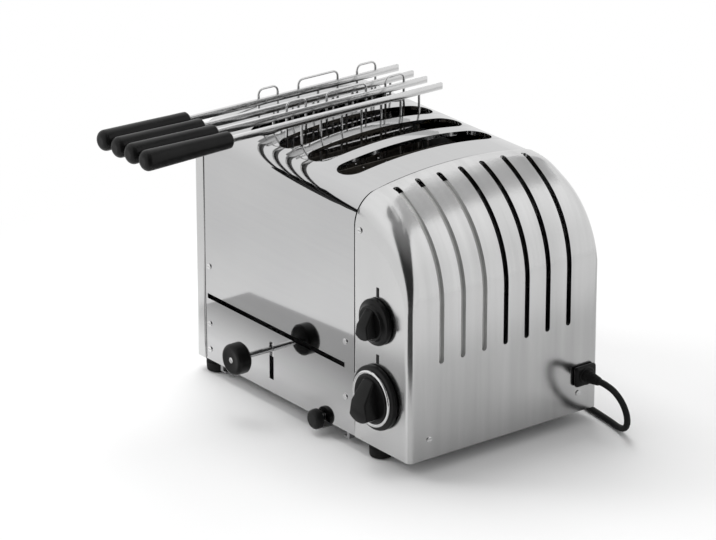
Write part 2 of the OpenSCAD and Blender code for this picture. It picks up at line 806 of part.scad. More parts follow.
function hinge_zs(s) = [for (z = [cross_zs[0], cross_zs[2]]) z - knuckle_drop + knuckle_shift * s];

// Knuckles of both halves round the pin, each on an arm that is welded to its half's last wire
module cage_knuckles(slot) {
    mid = slot_xs[slot];
    arm_d = wire_d * 0.85;
    reach = bar_spread / 2 - wire_d * 0.475 + 0.25;
    color("lightgray") difference() {
        for (s = [-1, 1], z = hinge_zs(s)) {
            rod_z(mid, hinge_y, z - knuckle_h / 2, z + knuckle_h / 2, knuckle_d);
            rod_x(mid + min(0, s * reach), mid + max(0, s * reach), hinge_y, z, arm_d);
        }
        rod_z(mid, hinge_y, grid_low, bar_z, hinge_pin_d + 2 * shaft_gap);
    }
}

module cage_pin(slot) {
    color("silver")
        rod_z(slot_xs[slot], hinge_y, hinge_zs(-1)[0] - knuckle_h, hinge_zs(1)[1] + knuckle_h, hinge_pin_d);
}

module cage_handles(slot) {
    edge = 4;
    color("black") for (s = [-1, 1]) {
        x = slot_xs[slot] + s * bar_spread / 2;
        difference() {
            face_front(x, bar_y0, bar_z) {
                cylinder(d1 = handle_inner_d, d2 = handle_outer_d, h = handle_len - edge);
                translate([0, 0, handle_len - edge - 0.5]) button(handle_outer_d, edge + 0.5, edge);
            }
            box(x - bar_t / 2 - shaft_gap, x + bar_t / 2 + shaft_gap, bar_y0 - tang_len - shaft_gap,
                bar_y0 + over, bar_z - bar_h / 2 - shaft_gap, bar_z + bar_h / 2 + shaft_gap);
        }
    }
}
module near_cage_grid_a() { cage_grid(cage_slots[0], -1); }
module near_cage_grid_b() { cage_grid(cage_slots[0], 1); }
module near_cage_knuckles() { cage_knuckles(cage_slots[0]); }
module near_cage_pin() { cage_pin(cage_slots[0]); }
module near_cage_handles() { cage_handles(cage_slots[0]); }
module far_cage_grid_a() { cage_grid(cage_slots[1], -1); }
module far_cage_grid_b() { cage_grid(cage_slots[1], 1); }
module far_cage_knuckles() { cage_knuckles(cage_slots[1]); }
module far_cage_pin() { cage_pin(cage_slots[1]); }
module far_cage_handles() { cage_handles(cage_slots[1]); }

// Insulating sheet close behind the louvres that are nearest to the controls
screen_t = 1.6;
module control_screen() {
    top_x = end_curve_x + end_curve_r * 0.375;
    gap = casting_t + fit_gap;
    edge_y = louvre_pitch * (louvre_count - 1) / 2 + louvre_w;
    color("lightgray") intersection() {
        along_x(top_x, half_w) arch(gap, base_top);
        along_y(-edge_y, -louvre_pitch / 2) difference() {
            end_side(gap, base_top, top_x, end_curve_r, end_curve_z);
            end_side(gap + screen_t, base_top - over, top_x - over, end_curve_r, end_curve_z);
        }
    }
}

// Terminal block on the base, with one lead to each control
block_w = 18;
block_len = 40;
block_h = 14;
lead_d = 2.6;
block_x = half_w - casting_t - block_w - 8;
block_y = half_d / 2;
module terminal_block() {
    color("ivory") box(block_x, block_x + block_w, block_y - block_len / 2, block_y + block_len / 2,
        base_top, base_top + block_h);
}
module internal_leads() {
    back = -casting_inner + control_body_depth;
    color("dimgray") for (k = [[timer_z, -1], [selector_z, 1]]) {
        x = block_x + block_w / 8 + k[1] * block_w / 16;
        y = block_y + (k[1] - 1) * block_len / 4;
        rod_z(x, y, base_top + block_h, k[0], lead_d);
        translate([x, y, k[0]]) sphere(d = lead_d);
        rod_y(x, back, y, k[0], lead_d);
    }
}

module cord_gland() {
    collar_t = 6;
    color("black") difference() {
        along_x(half_w, half_w + collar_t) translate([gland_y, gland_z]) rounded(22, 18, 3);
        rod_x(half_w - over, half_w + collar_t + over, gland_y, gland_z, 2 * relief_r + 2 * fit_gap);
    }
}
relief_r = 6.5;
module strain_relief() {
    color("black") difference() {
        translate([half_w, gland_y, gland_z]) rotate([0, 90, 0])
            cylinder(r1 = relief_r, r2 = cord_d / 2 + 0.8, h = relief_len);
        rod_x(half_w - over, half_w + relief_len / 2, gland_y, gland_z, 2.5);
    }
}

module cord_run() {
    color("black") swept_tube(curve(cord_route, cord_steps), cord_d / 2, cord_sides, [0, 1, 0]);
}
module cord_coil() {
    color("black") swept_tube(coil_path, cord_d / 2, coil_sides, [0, 0, 1]);
}

// Strap round the bundle of loops, at the side away from the casing
module coil_tie() {
    strap_t = 0.8;
    strap_w = 10;
    inner_r = coil_in_r - cord_d / 2 - fit_gap;
    outer_r = coil_out_r + cord_d / 2 + fit_gap;
    low = coil_start.z - cord_d / 2 - fit_gap;
    high = plug_z + cord_d / 2 + fit_gap;
    color("dimgray") translate([coil_mid.x, coil_mid.y, 0]) difference() {
        box(-strap_w / 2, strap_w / 2, inner_r - strap_t, outer_r + strap_t, low - strap_t, high + strap_t);
        box(-strap_w, strap_w, inner_r, outer_r, low, high);
    }
}

// Plug lying on its back, pins up
module plug_body() {
    mid_x = plug_x - plug_relief_len - plug_w / 2;
    color("black") {
        translate([mid_x, coil_start.y, 0]) linear_extrude(plug_t) rounded(plug_w, plug_w, 9);
        translate([plug_x, coil_start.y, plug_z]) rotate([0, -90, 0])
            cylinder(r1 = cord_d / 2 + 0.8, r2 = 7, h = plug_relief_len + 2);
    }
}
module plug_pins() {
    mid_x = plug_x - plug_relief_len - plug_w / 2;
    color("gold") translate([mid_x, coil_start.y, plug_t]) {
        translate([-11, 0, 0]) linear_extrude(22) square([8, 4], center = true);
        for (s = [-1, 1]) translate([11, s * 11, 0]) linear_extrude(17) square([4, 6.4], center = true);
    }
}

shell();
control_casting();
far_casting();
front_lower_panel();
base_plate();
tray_runners();
feet();
front_bulkhead();
rear_bulkhead();
heat_shields();
element_sheets();
element_ribbons();
bus_bars();
guard_wires();
guide_rods();
carriage_frame();
bread_rests();
carriage_rear_bar();
rocker();
rocker_pivot();
lever_rod();
lever_knob();
lever_guide();
timer_body();
timer_shaft();
timer_knob();
timer_ring();
selector_body();
selector_shaft();
selector_knob();
index_marks();
casing_screws();
crumb_tray();
tray_pull();
near_cage_grid_a();
near_cage_grid_b();
near_cage_knuckles();
near_cage_pin();
near_cage_handles();
far_cage_grid_a();
far_cage_grid_b();
far_cage_knuckles();
far_cage_pin();
far_cage_handles();
control_screen();
terminal_block();
internal_leads();
cord_gland();
strain_relief();
cord_run();
cord_coil();
coil_tie();
plug_body();
plug_pins();
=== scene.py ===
"""Looks of a polished slot toaster with two sandwich cages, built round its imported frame."""

import json
import logging
import math
from dataclasses import dataclass, field
from enum import Enum
from typing import Any, Callable, Iterable, Sequence

import bmesh
import bpy
from mathutils import Matrix, Vector


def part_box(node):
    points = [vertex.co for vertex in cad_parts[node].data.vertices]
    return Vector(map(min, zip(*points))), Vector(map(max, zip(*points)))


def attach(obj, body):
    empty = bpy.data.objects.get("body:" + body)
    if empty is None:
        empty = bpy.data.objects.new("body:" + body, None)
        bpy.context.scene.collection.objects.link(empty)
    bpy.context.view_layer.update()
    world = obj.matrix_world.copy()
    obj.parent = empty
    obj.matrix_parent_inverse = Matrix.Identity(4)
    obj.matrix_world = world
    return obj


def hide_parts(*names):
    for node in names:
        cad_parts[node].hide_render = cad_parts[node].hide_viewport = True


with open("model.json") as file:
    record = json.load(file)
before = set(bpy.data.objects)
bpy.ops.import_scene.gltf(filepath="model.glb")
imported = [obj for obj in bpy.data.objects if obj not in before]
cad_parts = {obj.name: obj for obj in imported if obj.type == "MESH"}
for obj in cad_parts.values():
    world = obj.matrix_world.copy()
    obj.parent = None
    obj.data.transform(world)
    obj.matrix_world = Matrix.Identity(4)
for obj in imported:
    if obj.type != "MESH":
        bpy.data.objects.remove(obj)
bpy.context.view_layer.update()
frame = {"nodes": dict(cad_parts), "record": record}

MM = 0.001
TINY = 1e-6
LOG = logging.getLogger("toaster")
Colour = tuple[float, float, float]


class Body(str, Enum):
    """Rigid bodies that the pieces ride on."""

    HOUSING = "housing"
    LEVER = "lever"
    TIMER = "timer"
    SELECTOR = "selector"
    TRAY = "tray"
    NEAR_CAGE = "near_cage"
    FAR_CAGE = "far_cage"


class Slot(str, Enum):
    """Material slots of the record."""

    SHEET = "polished_steel"
    CASTING = "polished_casting"
    PLAIN = "plain_steel"
    WIRE = "plated_wire"
    MOULDING = "black_plastic"
    RUBBER = "black_rubber"
    PALE = "pale_plastic"
    MICA = "mica"
    RIBBON = "ribbon"
    BRASS = "brass"
    SLEEVE = "lead_sleeve"


class Value:
    """A shader value that can be used in Python arithmetic."""

    def __init__(self, nodes: "Nodes", socket: bpy.types.NodeSocket) -> None:
        """Wraps a socket of a node tree."""
        self.nodes = nodes
        self.socket = socket

    def _math(self, operation: str, first: Any, second: Any) -> "Value":
        """Adds one Math node and returns its result."""
        return self.nodes.node("ShaderNodeMath", {"operation": operation}, {0: first, 1: second})

    def __add__(self, other: Any) -> "Value":
        """Sum."""
        return self._math("ADD", self, other)

    def __mul__(self, other: Any) -> "Value":
        """Product."""
        return self._math("MULTIPLY", self, other)

    def maximum(self, other: Any) -> "Value":
        """The larger of two values."""
        return self._math("MAXIMUM", self, other)


class Nodes:
    """Builds the nodes of one tree."""

    def __init__(self, tree: bpy.types.NodeTree) -> None:
        """Takes a tree to add to."""
        self.tree = tree

    def node(self, kind: str, settings: dict[str, Any], inputs: dict[Any, Any], output: Any = 0) -> Value:
        """Adds a node.

        Args:
            kind: The node's type.
            settings: Attributes to set first; "stops" fills a colour ramp.
            inputs: Socket names or numbers, with values or links.
            output: The wanted output.

        Returns:
            The wanted output, wrapped.
        """
        made = self.tree.nodes.new(kind)
        for key, value in settings.items():
            if key == "stops":
                self._stops(made.color_ramp, value)
            else:
                setattr(made, key, value)
        for key, value in inputs.items():
            self.put(made.inputs[key], value)
        return Value(self, made.outputs[output])

    @staticmethod
    def _stops(ramp: bpy.types.ColorRamp, stops: Sequence[tuple[float, Colour]]) -> None:
        """Fills a colour ramp with its stops."""
        while len(ramp.elements) < len(stops):
            ramp.elements.new(0.5)
        for element, (place, colour) in zip(ramp.elements, stops):
            element.position = place
            element.color = (*colour, 1.0)

    def put(self, socket: bpy.types.NodeSocket, value: Any) -> None:
        """Sets a socket to a number or colour, or links a value to it."""
        if isinstance(value, Value):
            self.tree.links.new(value.socket, socket)
        elif socket.type == "RGBA" and len(value) == 3:
            socket.default_value = (*value, 1.0)
        else:
            socket.default_value = value

    def part(self, where: Value, axis: str) -> Value:
        """One coordinate of a place."""
        return self.node("ShaderNodeSeparateXYZ", {}, {0: where}, axis)

    def ray(self, kind: str) -> Value:
        """1 for rays of a kind, and 0 for others."""
        return self.node("ShaderNodeLightPath", {}, {}, kind)

    def eased(self, value: Value, start: float, end: float, first: float = 0.0, last: float = 1.0) -> Value:
        """Goes smoothly from a first to a last level between two values."""
        return self.node("ShaderNodeMapRange", {"interpolation_type": "SMOOTHSTEP"},
                         {"Value": value, "From Min": start, "From Max": end, "To Min": first, "To Max": last})


class Shading(Nodes):
    """Builds one material."""

    def __init__(self, name: str) -> None:
        """Starts a material with only a Principled shader and its output."""
        self.material = bpy.data.materials.new(name)
        self.material.use_nodes = True
        super().__init__(self.material.node_tree)
        self.tree.nodes.clear()
        self.shader = self.tree.nodes.new("ShaderNodeBsdfPrincipled")
        self.output = self.tree.nodes.new("ShaderNodeOutputMaterial")
        self.show(self.surface())

    def surface(self) -> Value:
        """The Principled shader's result."""
        return Value(self, self.shader.outputs[0])

    def show(self, result: Value) -> None:
        """Makes a shader's result the surface."""
        self.tree.links.new(result.socket, self.output.inputs["Surface"])

    def set(self, **sockets: Any) -> None:
        """Sets sockets of the Principled shader; an underscore stands for a space."""
        for key, value in sockets.items():
            self.put(self.shader.inputs[key.replace("_", " ")], value)

    def place(self, scale: Colour = (1.0, 1.0, 1.0)) -> Value:
        """Object coordinates, stretched."""
        where = self.node("ShaderNodeTexCoord", {}, {}, "Object")
        return self.node("ShaderNodeMapping", {}, {"Vector": where, "Scale": scale})

    def noise(self, scale: float, stretch: Colour = (1.0, 1.0, 1.0), detail: float = 2.0) -> Value:
        """Noise on the object, from 0 to 1."""
        return self.node("ShaderNodeTexNoise", {},
                         {"Vector": self.place(stretch), "Scale": scale, "Detail": detail})

    def shades(self, factor: Value, low: Colour, high: Colour) -> Value:
        """A colour between two, by a factor."""
        return self.node("ShaderNodeValToRGB", {"stops": [(0.3, low), (0.7, high)]}, {"Fac": factor})

    def bump(self, height: Value, strength: float, distance: float) -> Value:
        """A normal bent by a height."""
        return self.node("ShaderNodeBump", {}, {"Height": height, "Strength": strength, "Distance": distance})


@dataclass(frozen=True)
class Metal:
    """A metal with fine streaks left by polishing, and slight clouding.

    Args:
        name: Name of the material.
        colour: Colour of the bright areas.
        clouded: Colour of the clouded areas.
        roughness: Least roughness.
        streak: Added roughness along the streaks.
        grain: How the streaks are stretched along each axis.
        relief: Depth of the streaks in metres.
        drawn: Share of the streaks in the colour, the rest being clouds.
    """

    name: str
    colour: Colour
    clouded: Colour
    roughness: float
    streak: float
    grain: Colour = (1.0, 1.0, 1.0)
    relief: float = 0.0
    drawn: float = 0.3

    def material(self) -> bpy.types.Material:
        """Builds the material."""
        shading = Shading(self.name)
        clouds = shading.noise(9.0, detail=3.0)
        streaks = shading.noise(220.0, self.grain, 4.0)
        tint = streaks * self.drawn + clouds * (1 - self.drawn)
        shading.set(Base_Color=shading.shades(tint, self.clouded, self.colour), Metallic=1.0)
        shading.set(Roughness=streaks * self.streak + clouds * (self.streak * 0.5) + self.roughness)
        if self.relief:
            shading.set(Normal=shading.bump(streaks, 0.4, self.relief))
        return shading.material


@dataclass(frozen=True)
class Moulding:
    """A moulded plastic or rubber with a fine surface grain and rubbed patches.

    Args:
        name: Name of the material.
        colour: Main colour.
        rubbed: Colour of the rubbed patches.
        roughness: Roughness of the smoothest patches.
        spread: Added roughness of the dullest patches.
        grain: Size of the surface grain, as a noise scale.
        relief: Depth of the grain in metres.
        shine: Level of the mirror-like part.
    """

    name: str
    colour: Colour
    rubbed: Colour
    roughness: float
    spread: float
    grain: float
    relief: float
    shine: float = 0.5

    def material(self) -> bpy.types.Material:
        """Builds the material."""
        shading = Shading(self.name)
        patches = shading.noise(26.0, detail=4.0)
        grain = shading.noise(self.grain, detail=2.0)
        shading.set(Base_Color=shading.shades(patches, self.colour, self.rubbed))
        shading.set(Roughness=patches * self.spread + self.roughness, Specular_IOR_Level=self.shine)
        shading.set(Normal=shading.bump(grain, 0.5, self.relief))
        return shading.material


@dataclass(frozen=True)
class Flaked:
    """Pressed mica with pale flakes."""

    name: str
    colour: Colour
    flake: Colour

    def material(self) -> bpy.types.Material:
        """Builds the material."""
        shading = Shading(self.name)
        flakes = shading.node("ShaderNodeTexVoronoi", {}, {"Vector": shading.place(), "Scale": 260.0}, "Distance")
        clouds = shading.noise(40.0, detail=3.0)
        shading.set(Base_Color=shading.shades(flakes * 0.6 + clouds * 0.5, self.colour, self.flake))
        shading.set(Roughness=clouds * 0.3 + 0.35, Normal=shading.bump(flakes, 0.3, 0.0002))
        return shading.material


FINISHES: dict[Slot, Any] = {
    Slot.SHEET: Metal("polished_sheet", (0.52, 0.52, 0.52), (0.48, 0.48, 0.485), 0.02, 0.04, (0.04, 1.0, 1.0)),
    Slot.CASTING: Metal("polished_casting", (0.63, 0.63, 0.63), (0.52, 0.52, 0.52), 0.12, 0.08,
                        (0.05, 0.5, 0.02), drawn=0.7),
    Slot.PLAIN: Metal("plain_sheet", (0.42, 0.42, 0.43), (0.34, 0.34, 0.34), 0.30, 0.18, (0.1, 1.0, 1.0),
                      0.00004),
    Slot.WIRE: Metal("bright_plate", (0.70, 0.70, 0.70), (0.60, 0.60, 0.60), 0.10, 0.10, (1.0, 0.2, 1.0)),
    Slot.RIBBON: Metal("resistance_ribbon", (0.30, 0.26, 0.23), (0.20, 0.17, 0.16), 0.42, 0.2),
    Slot.BRASS: Metal("plain_brass", (0.66, 0.49, 0.20), (0.52, 0.37, 0.15), 0.24, 0.15, (0.2, 1.0, 1.0)),
    Slot.MOULDING: Moulding("black_moulding", (0.004, 0.004, 0.004), (0.009, 0.009, 0.009), 0.24, 0.14, 900.0,
                            0.00004, 0.16),
    Slot.RUBBER: Moulding("dull_rubber", (0.007, 0.007, 0.007), (0.014, 0.014, 0.014), 0.52, 0.2, 700.0,
                          0.00006, 0.12),
    Slot.PALE: Moulding("heatproof_moulding", (0.55, 0.55, 0.54), (0.64, 0.64, 0.63), 0.45, 0.2, 500.0, 0.00006),
    Slot.SLEEVE: Moulding("silicone_sleeve", (0.030, 0.030, 0.030), (0.045, 0.045, 0.045), 0.45, 0.2, 500.0,
                          0.00004),
    Slot.MICA: Flaked("pressed_mica", (0.045, 0.040, 0.034), (0.085, 0.075, 0.062)),
}


class Finishes:
    """Materials of the object, each made once."""

    def __init__(self) -> None:
        """Makes every finish."""
        self.made = {slot: finish.material() for slot, finish in FINISHES.items()}

    def dress_frame(self) -> None:
        """Gives each CAD node the finish of its own material slot."""
        for row in frame["record"]["subparts"]:
            node = frame["nodes"][row["node"]]
            node.data.materials.clear()
            node.data.materials.append(self.made[Slot(row["material_slot"])])


def linked(name: str, data: bpy.types.ID) -> bpy.types.Object:
    """Puts new data into the scene as an object."""
    made = bpy.data.objects.new(name, data)
    bpy.context.scene.collection.objects.link(made)
    return made


def mesh_data(name: str, mesh: bmesh.types.BMesh) -> bpy.types.Mesh:
    """Turns a mesh into data, and uses it up."""
    data = bpy.data.meshes.new(name)
    mesh.to_mesh(data)
    mesh.free()
    return data


@dataclass
class Workshop:
    """Turns meshes into pieces of the object."""

    finishes: Finishes

    def piece(self, name: str, mesh: bmesh.types.BMesh, slot: Slot, body: Body, replaces: Iterable[str] = (),
              sharp_deg: float = 35.0) -> bpy.types.Object:
        """Makes a piece, dresses it and lets it ride.

        Args:
            name: Name of the piece.
            mesh: Its mesh, in the row frame, which is used up.
            slot: Material slot it takes its finish from.
            body: Body it rides on.
            replaces: CAD nodes that it stands for.
            sharp_deg: Angle above which an edge stays sharp.

        Returns:
            The new object.
        """
        data = mesh_data(name, mesh)
        data.polygons.foreach_set("use_smooth", [True] * len(data.polygons))
        data.set_sharp_from_angle(angle=math.radians(sharp_deg))
        made = linked(name, data)
        data.materials.append(self.finishes.made[slot])
        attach(made, body.value)
        if replaces:
            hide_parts(*replaces)
        LOG.info("%s: %d faces", name, len(data.polygons))
        return made


def spun(profile: Sequence[tuple[float, float]], steps: int = 48) -> bmesh.types.BMesh:
    """A body of revolution about +Z.

    Args:
        profile: Radius and height of each point, from pole to pole.
        steps: Number of steps round.

    Returns:
        The closed mesh.
    """
    mesh = bmesh.new()
    points = [mesh.verts.new((radius, 0.0, height)) for radius, height in profile]
    edges = [mesh.edges.new(pair) for pair in zip(points, points[1:])]
    bmesh.ops.spin(mesh, geom=points + edges, cent=(0, 0, 0), axis=(0, 0, 1), angle=math.tau, steps=steps,
                   use_merge=True)
    bmesh.ops.remove_doubles(mesh, verts=mesh.verts, dist=1e-6)
    bmesh.ops.recalc_face_normals(mesh, faces=mesh.faces)
    return mesh


def rounded_corner(radius: float, height: float, edge: float, steps: int = 5) -> list[tuple[float, float]]:
    """Profile points of a quarter-round edge at the top of a disc.

    Args:
        radius: Radius of the disc.
        height: Height of its top.
        edge: Radius of the edge.
        steps: Number of steps in the quarter.

    Returns:
        Points from the side to the top.
    """
    angles = [math.pi / 2 * step / steps for step in range(steps + 1)]
    return [(radius - edge + edge * math.cos(a), height - edge + edge * math.sin(a)) for a in angles]


def soften(mesh: bmesh.types.BMesh, edges: list[bmesh.types.BMEdge], radius: float, segments: int) -> None:
    """Rounds edges of a mesh."""
    bmesh.ops.bevel(mesh, geom=edges, offset=radius, segments=segments, profile=0.5, affect="EDGES", material=-1)


def add(target: bmesh.types.BMesh, part: bmesh.types.BMesh, place: Matrix) -> None:
    """Adds a part to a mesh at a place, and uses it up."""
    bmesh.ops.transform(part, matrix=place, verts=part.verts)
    data = mesh_data("part", part)
    target.from_mesh(data)
    bpy.data.meshes.remove(data)


def block(mesh: bmesh.types.BMesh, low: Vector, high: Vector, edge: float, segments: int = 3) -> None:
    """Adds a box with rounded edges to a mesh.

    Args:
        mesh: Mesh that it is added to.
        low: Lowest corner.
        high: Highest corner.
        edge: Radius of the edges.
        segments: Steps in each edge.
    """
    size = high - low
    place = Matrix.Translation((low + high) / 2) @ Matrix.Diagonal((*size, 1.0))
    made = bmesh.ops.create_cube(mesh, size=1.0, matrix=place)
    soften(mesh, list({link for vert in made["verts"] for link in vert.link_edges}), edge, segments)


def rod(mesh: bmesh.types.BMesh, start: Vector, end: Vector, radius: float, sides: int = 14) -> None:
    """Adds a straight round wire to a mesh.

    Args:
        mesh: Mesh that it is added to.
        start: Middle of one end.
        end: Middle of the other end.
        radius: Radius of the wire.
        sides: Number of sides.
    """
    along = end - start
    place = Matrix.Translation((start + end) / 2) @ along.to_track_quat("Z", "Y").to_matrix().to_4x4()
    bmesh.ops.create_cone(mesh, cap_ends=True, segments=sides, radius1=radius, radius2=radius, depth=along.length,
                          matrix=place)


FRONTWARDS = Matrix.Rotation(math.pi / 2, 4, "X")
SIDEWARDS = Matrix.Rotation(math.pi / 2, 4, "Y")


def facing_front(mesh: bmesh.types.BMesh, place: Vector) -> bmesh.types.BMesh:
    """Turns a mesh from +Z to the front and moves it to its place."""
    bmesh.ops.transform(mesh, matrix=Matrix.Translation(place) @ FRONTWARDS, verts=mesh.verts)
    return mesh


def seat(low: Vector, high: Vector) -> Vector:
    """Middle of a box's back, where a part that faces the front starts."""
    return Vector(((low.x + high.x) / 2, high.y, (low.z + high.z) / 2))


def last_inside(outside: Callable[[float], float], reach: float, halvings: int = 34) -> float:
    """Finds where a path leaves a form.

    Args:
        outside: Distance outside the form at a place on the path.
        reach: A place on the path that lies outside.
        halvings: How often the reach is halved.

    Returns:
        The last place found inside.
    """
    inner, outer = 0.0, reach
    for _ in range(halvings):
        middle = (inner + outer) / 2
        if outside(middle) < 0:
            inner = middle
        else:
            outer = middle
    return inner


@dataclass(frozen=True)
class Arch:
    """Outline of the casing across the slots: upright sides, round shoulders, shallow crown.

    Args:
        half_depth: Half the depth between the upright sides.
        height: Height of the crown.
        crown_r: Radius of the crown.
        shoulder_r: Radius of the shoulders.
    """

    half_depth: float
    height: float
    crown_r: float
    shoulder_r: float

    @property
    def crown_z(self) -> float:
        """Height of the crown's centre."""
        return self.height - self.crown_r

    @property
    def shoulder_y(self) -> float:
        """Depth of a shoulder's centre."""
        return self.half_depth - self.shoulder_r

    @property
    def shoulder_z(self) -> float:
        """Height of the shoulders' centres."""
        return self.crown_z + math.sqrt((self.crown_r - self.shoulder_r) ** 2 - self.shoulder_y ** 2)

    @property
    def turn(self) -> float:
        """Angle that a shoulder turns through."""
        return math.atan2(self.shoulder_z - self.crown_z, self.shoulder_y)

    def distance(self, y: float, z: float) -> tuple[float, float]:
        """Distance outside the outline, and the upward part of its normal there."""
        across, up = abs(y) - self.shoulder_y, z - self.shoulder_z
        if across > 0 and 0 < math.atan2(up, across) < self.turn:
            reach = math.hypot(across, up)
            return reach - self.shoulder_r, up / reach
        side, reach = abs(y) - self.half_depth, math.hypot(y, z - self.crown_z)
        crown = reach - self.crown_r
        return (side, 0.0) if side > crown else (crown, (z - self.crown_z) / reach)

    def point(self, travel: float, low: float) -> tuple[float, float]:
        """Depth and height of a point on the outline.

        Args:
            travel: Distance along the outline from the front's lower edge.
            low: Height of that edge.

        Returns:
            Depth and height.
        """
        straight, bend, half = self.spans(low)
        side = -1.0 if travel <= half else 1.0
        along = travel if travel <= half else 2 * half - travel
        if along <= straight:
            return side * self.half_depth, low + along
        if along <= straight + bend:
            angle = (along - straight) / self.shoulder_r
            return (side * (self.shoulder_y + self.shoulder_r * math.cos(angle)),
                    self.shoulder_z + self.shoulder_r * math.sin(angle))
        angle = self.turn + (along - straight - bend) / self.crown_r
        return side * self.crown_r * math.cos(angle), self.crown_z + self.crown_r * math.sin(angle)

    def travel_at(self, y: float, low: float) -> float:
        """Distance along the outline to a depth on the shoulders or the crown."""
        straight, bend, half = self.spans(low)
        edge = self.crown_r * math.cos(self.turn)
        if abs(y) <= edge:
            along = straight + bend + (math.acos(abs(y) / self.crown_r) - self.turn) * self.crown_r
        else:
            along = straight + math.acos((abs(y) - self.shoulder_y) / self.shoulder_r) * self.shoulder_r
        return along if y <= 0 else 2 * half - along

    def spans(self, low: float) -> tuple[float, float, float]:
        """Lengths of an upright side above its lower edge, of a shoulder, and of half the outline."""
        straight, bend = self.shoulder_z - low, self.shoulder_r * self.turn
        return straight, bend, straight + bend + self.crown_r * (math.pi / 2 - self.turn)


@dataclass(frozen=True)
class RoundedEnd:
    """Where a cut's end is rounded: each column's offset and how far its end is pushed out."""

    middle: float
    half_width: float
    steps: int

    def columns(self) -> list[float]:
        """Columns of the grid across the cut."""
        angles = [math.pi * step / self.steps for step in range(self.steps + 1)]
        return [self.middle - self.half_width * math.cos(angle) for angle in angles]

    def push(self, column: float) -> float:
        """How far the end is pushed out at a column."""
        inside = self.half_width ** 2 - (column - self.middle) ** 2
        return math.sqrt(max(0.0, inside))

    def holds(self, column: float) -> bool:
        """Whether a column lies in the cut."""
        return abs(column - self.middle) < self.half_width + 1e-7


@dataclass
class Skin:
    """A curved skin on a grid of rows and columns, with rounded cuts along the rows' direction.

    Args:
        rows: Values of the rows, rising.
        columns: Values of the columns, rising.
        surface: Gives the point at a row's and a column's value.
        cuts: Rounded cuts with the rows that their straight sides end at.
    """

    rows: list[float]
    columns: list[float]
    surface: Callable[[float, float], Vector]
    cuts: list[tuple[RoundedEnd, float, float]] = field(default_factory=list)

    def mesh(self) -> bmesh.types.BMesh:
        """Builds the open skin.

        Returns:
            The mesh, with its faces inside the cuts removed.
        """
        mesh = bmesh.new()
        rows, columns = len(self.rows), len(self.columns)
        bmesh.ops.create_grid(mesh, x_segments=columns - 1, y_segments=rows - 1, size=0.5)
        doomed = []
        places: dict[bmesh.types.BMVert, tuple[float, float]] = {}
        for vert in mesh.verts:
            column = self.columns[round((vert.co.x + 0.5) * (columns - 1))]
            row = self.rows[round((vert.co.y + 0.5) * (rows - 1))]
            places[vert] = (row, column)
        for face in mesh.faces:
            row = sum(places[vert][0] for vert in face.verts) / 4
            column = sum(places[vert][1] for vert in face.verts) / 4
            if any(end.holds(column) and low < row < high for end, low, high in self.cuts):
                doomed.append(face)
        for vert, (row, column) in places.items():
            vert.co = self.surface(self.pushed(row, column), column)
        bmesh.ops.delete(mesh, geom=doomed, context="FACES")
        bmesh.ops.remove_doubles(mesh, verts=mesh.verts, dist=1e-6)
        bmesh.ops.recalc_face_normals(mesh, faces=mesh.faces)
        return mesh

    def pushed(self, row: float, column: float) -> float:
        """A row's value at a column, pushed out where a cut ends."""
        for end, low, high in self.cuts:
            if end.holds(column):
                if abs(row - low) < 1e-7:
                    return row - end.push(column)
                if abs(row - high) < 1e-7:
                    return row + end.push(column)
        return row


def spread(low: float, high: float, step: float) -> list[float]:
    """Evenly spread values from low to high, no further apart than a step."""
    count = max(1, math.ceil((high - low) / step - 1e-6))
    return [low + (high - low) * k / count for k in range(count + 1)]


def merged(*lists: Iterable[float]) -> list[float]:
    """Rising values of several lists, without repeats."""
    values = sorted(value for values in lists for value in values)
    return [v for k, v in enumerate(values) if k == 0 or v - values[k - 1] > 1e-6]


def clear_of(values: Iterable[float], spans: Sequence[tuple[float, float]]) -> list[float]:
    """Values that lie outside every span."""
    return [v for v in values if not any(low < v < high for low, high in spans)]


def thickened(mesh: bmesh.types.BMesh, wall: float, inside: Vector) -> bmesh.types.BMesh:
    """Gives an open skin its wall, on the side of a point inside.

    Args:
        mesh: The skin.
        wall: Thickness of the wall.
        inside: A point on the inner side.

    Returns:
        The same mesh, closed.
    """
    mesh.faces.ensure_lookup_table()
    facing = sum(face.normal.dot(face.calc_center_median() - inside) * face.calc_area() for face in mesh.faces)
    if facing < 0:
        bmesh.ops.reverse_faces(mesh, faces=mesh.faces)
    mesh.normal_update()
    bmesh.ops.solidify(mesh, geom=mesh.faces[:] + mesh.edges[:] + mesh.verts[:], thickness=wall)
    bmesh.ops.remove_doubles(mesh, verts=mesh.verts, dist=1e-7)
    return mesh


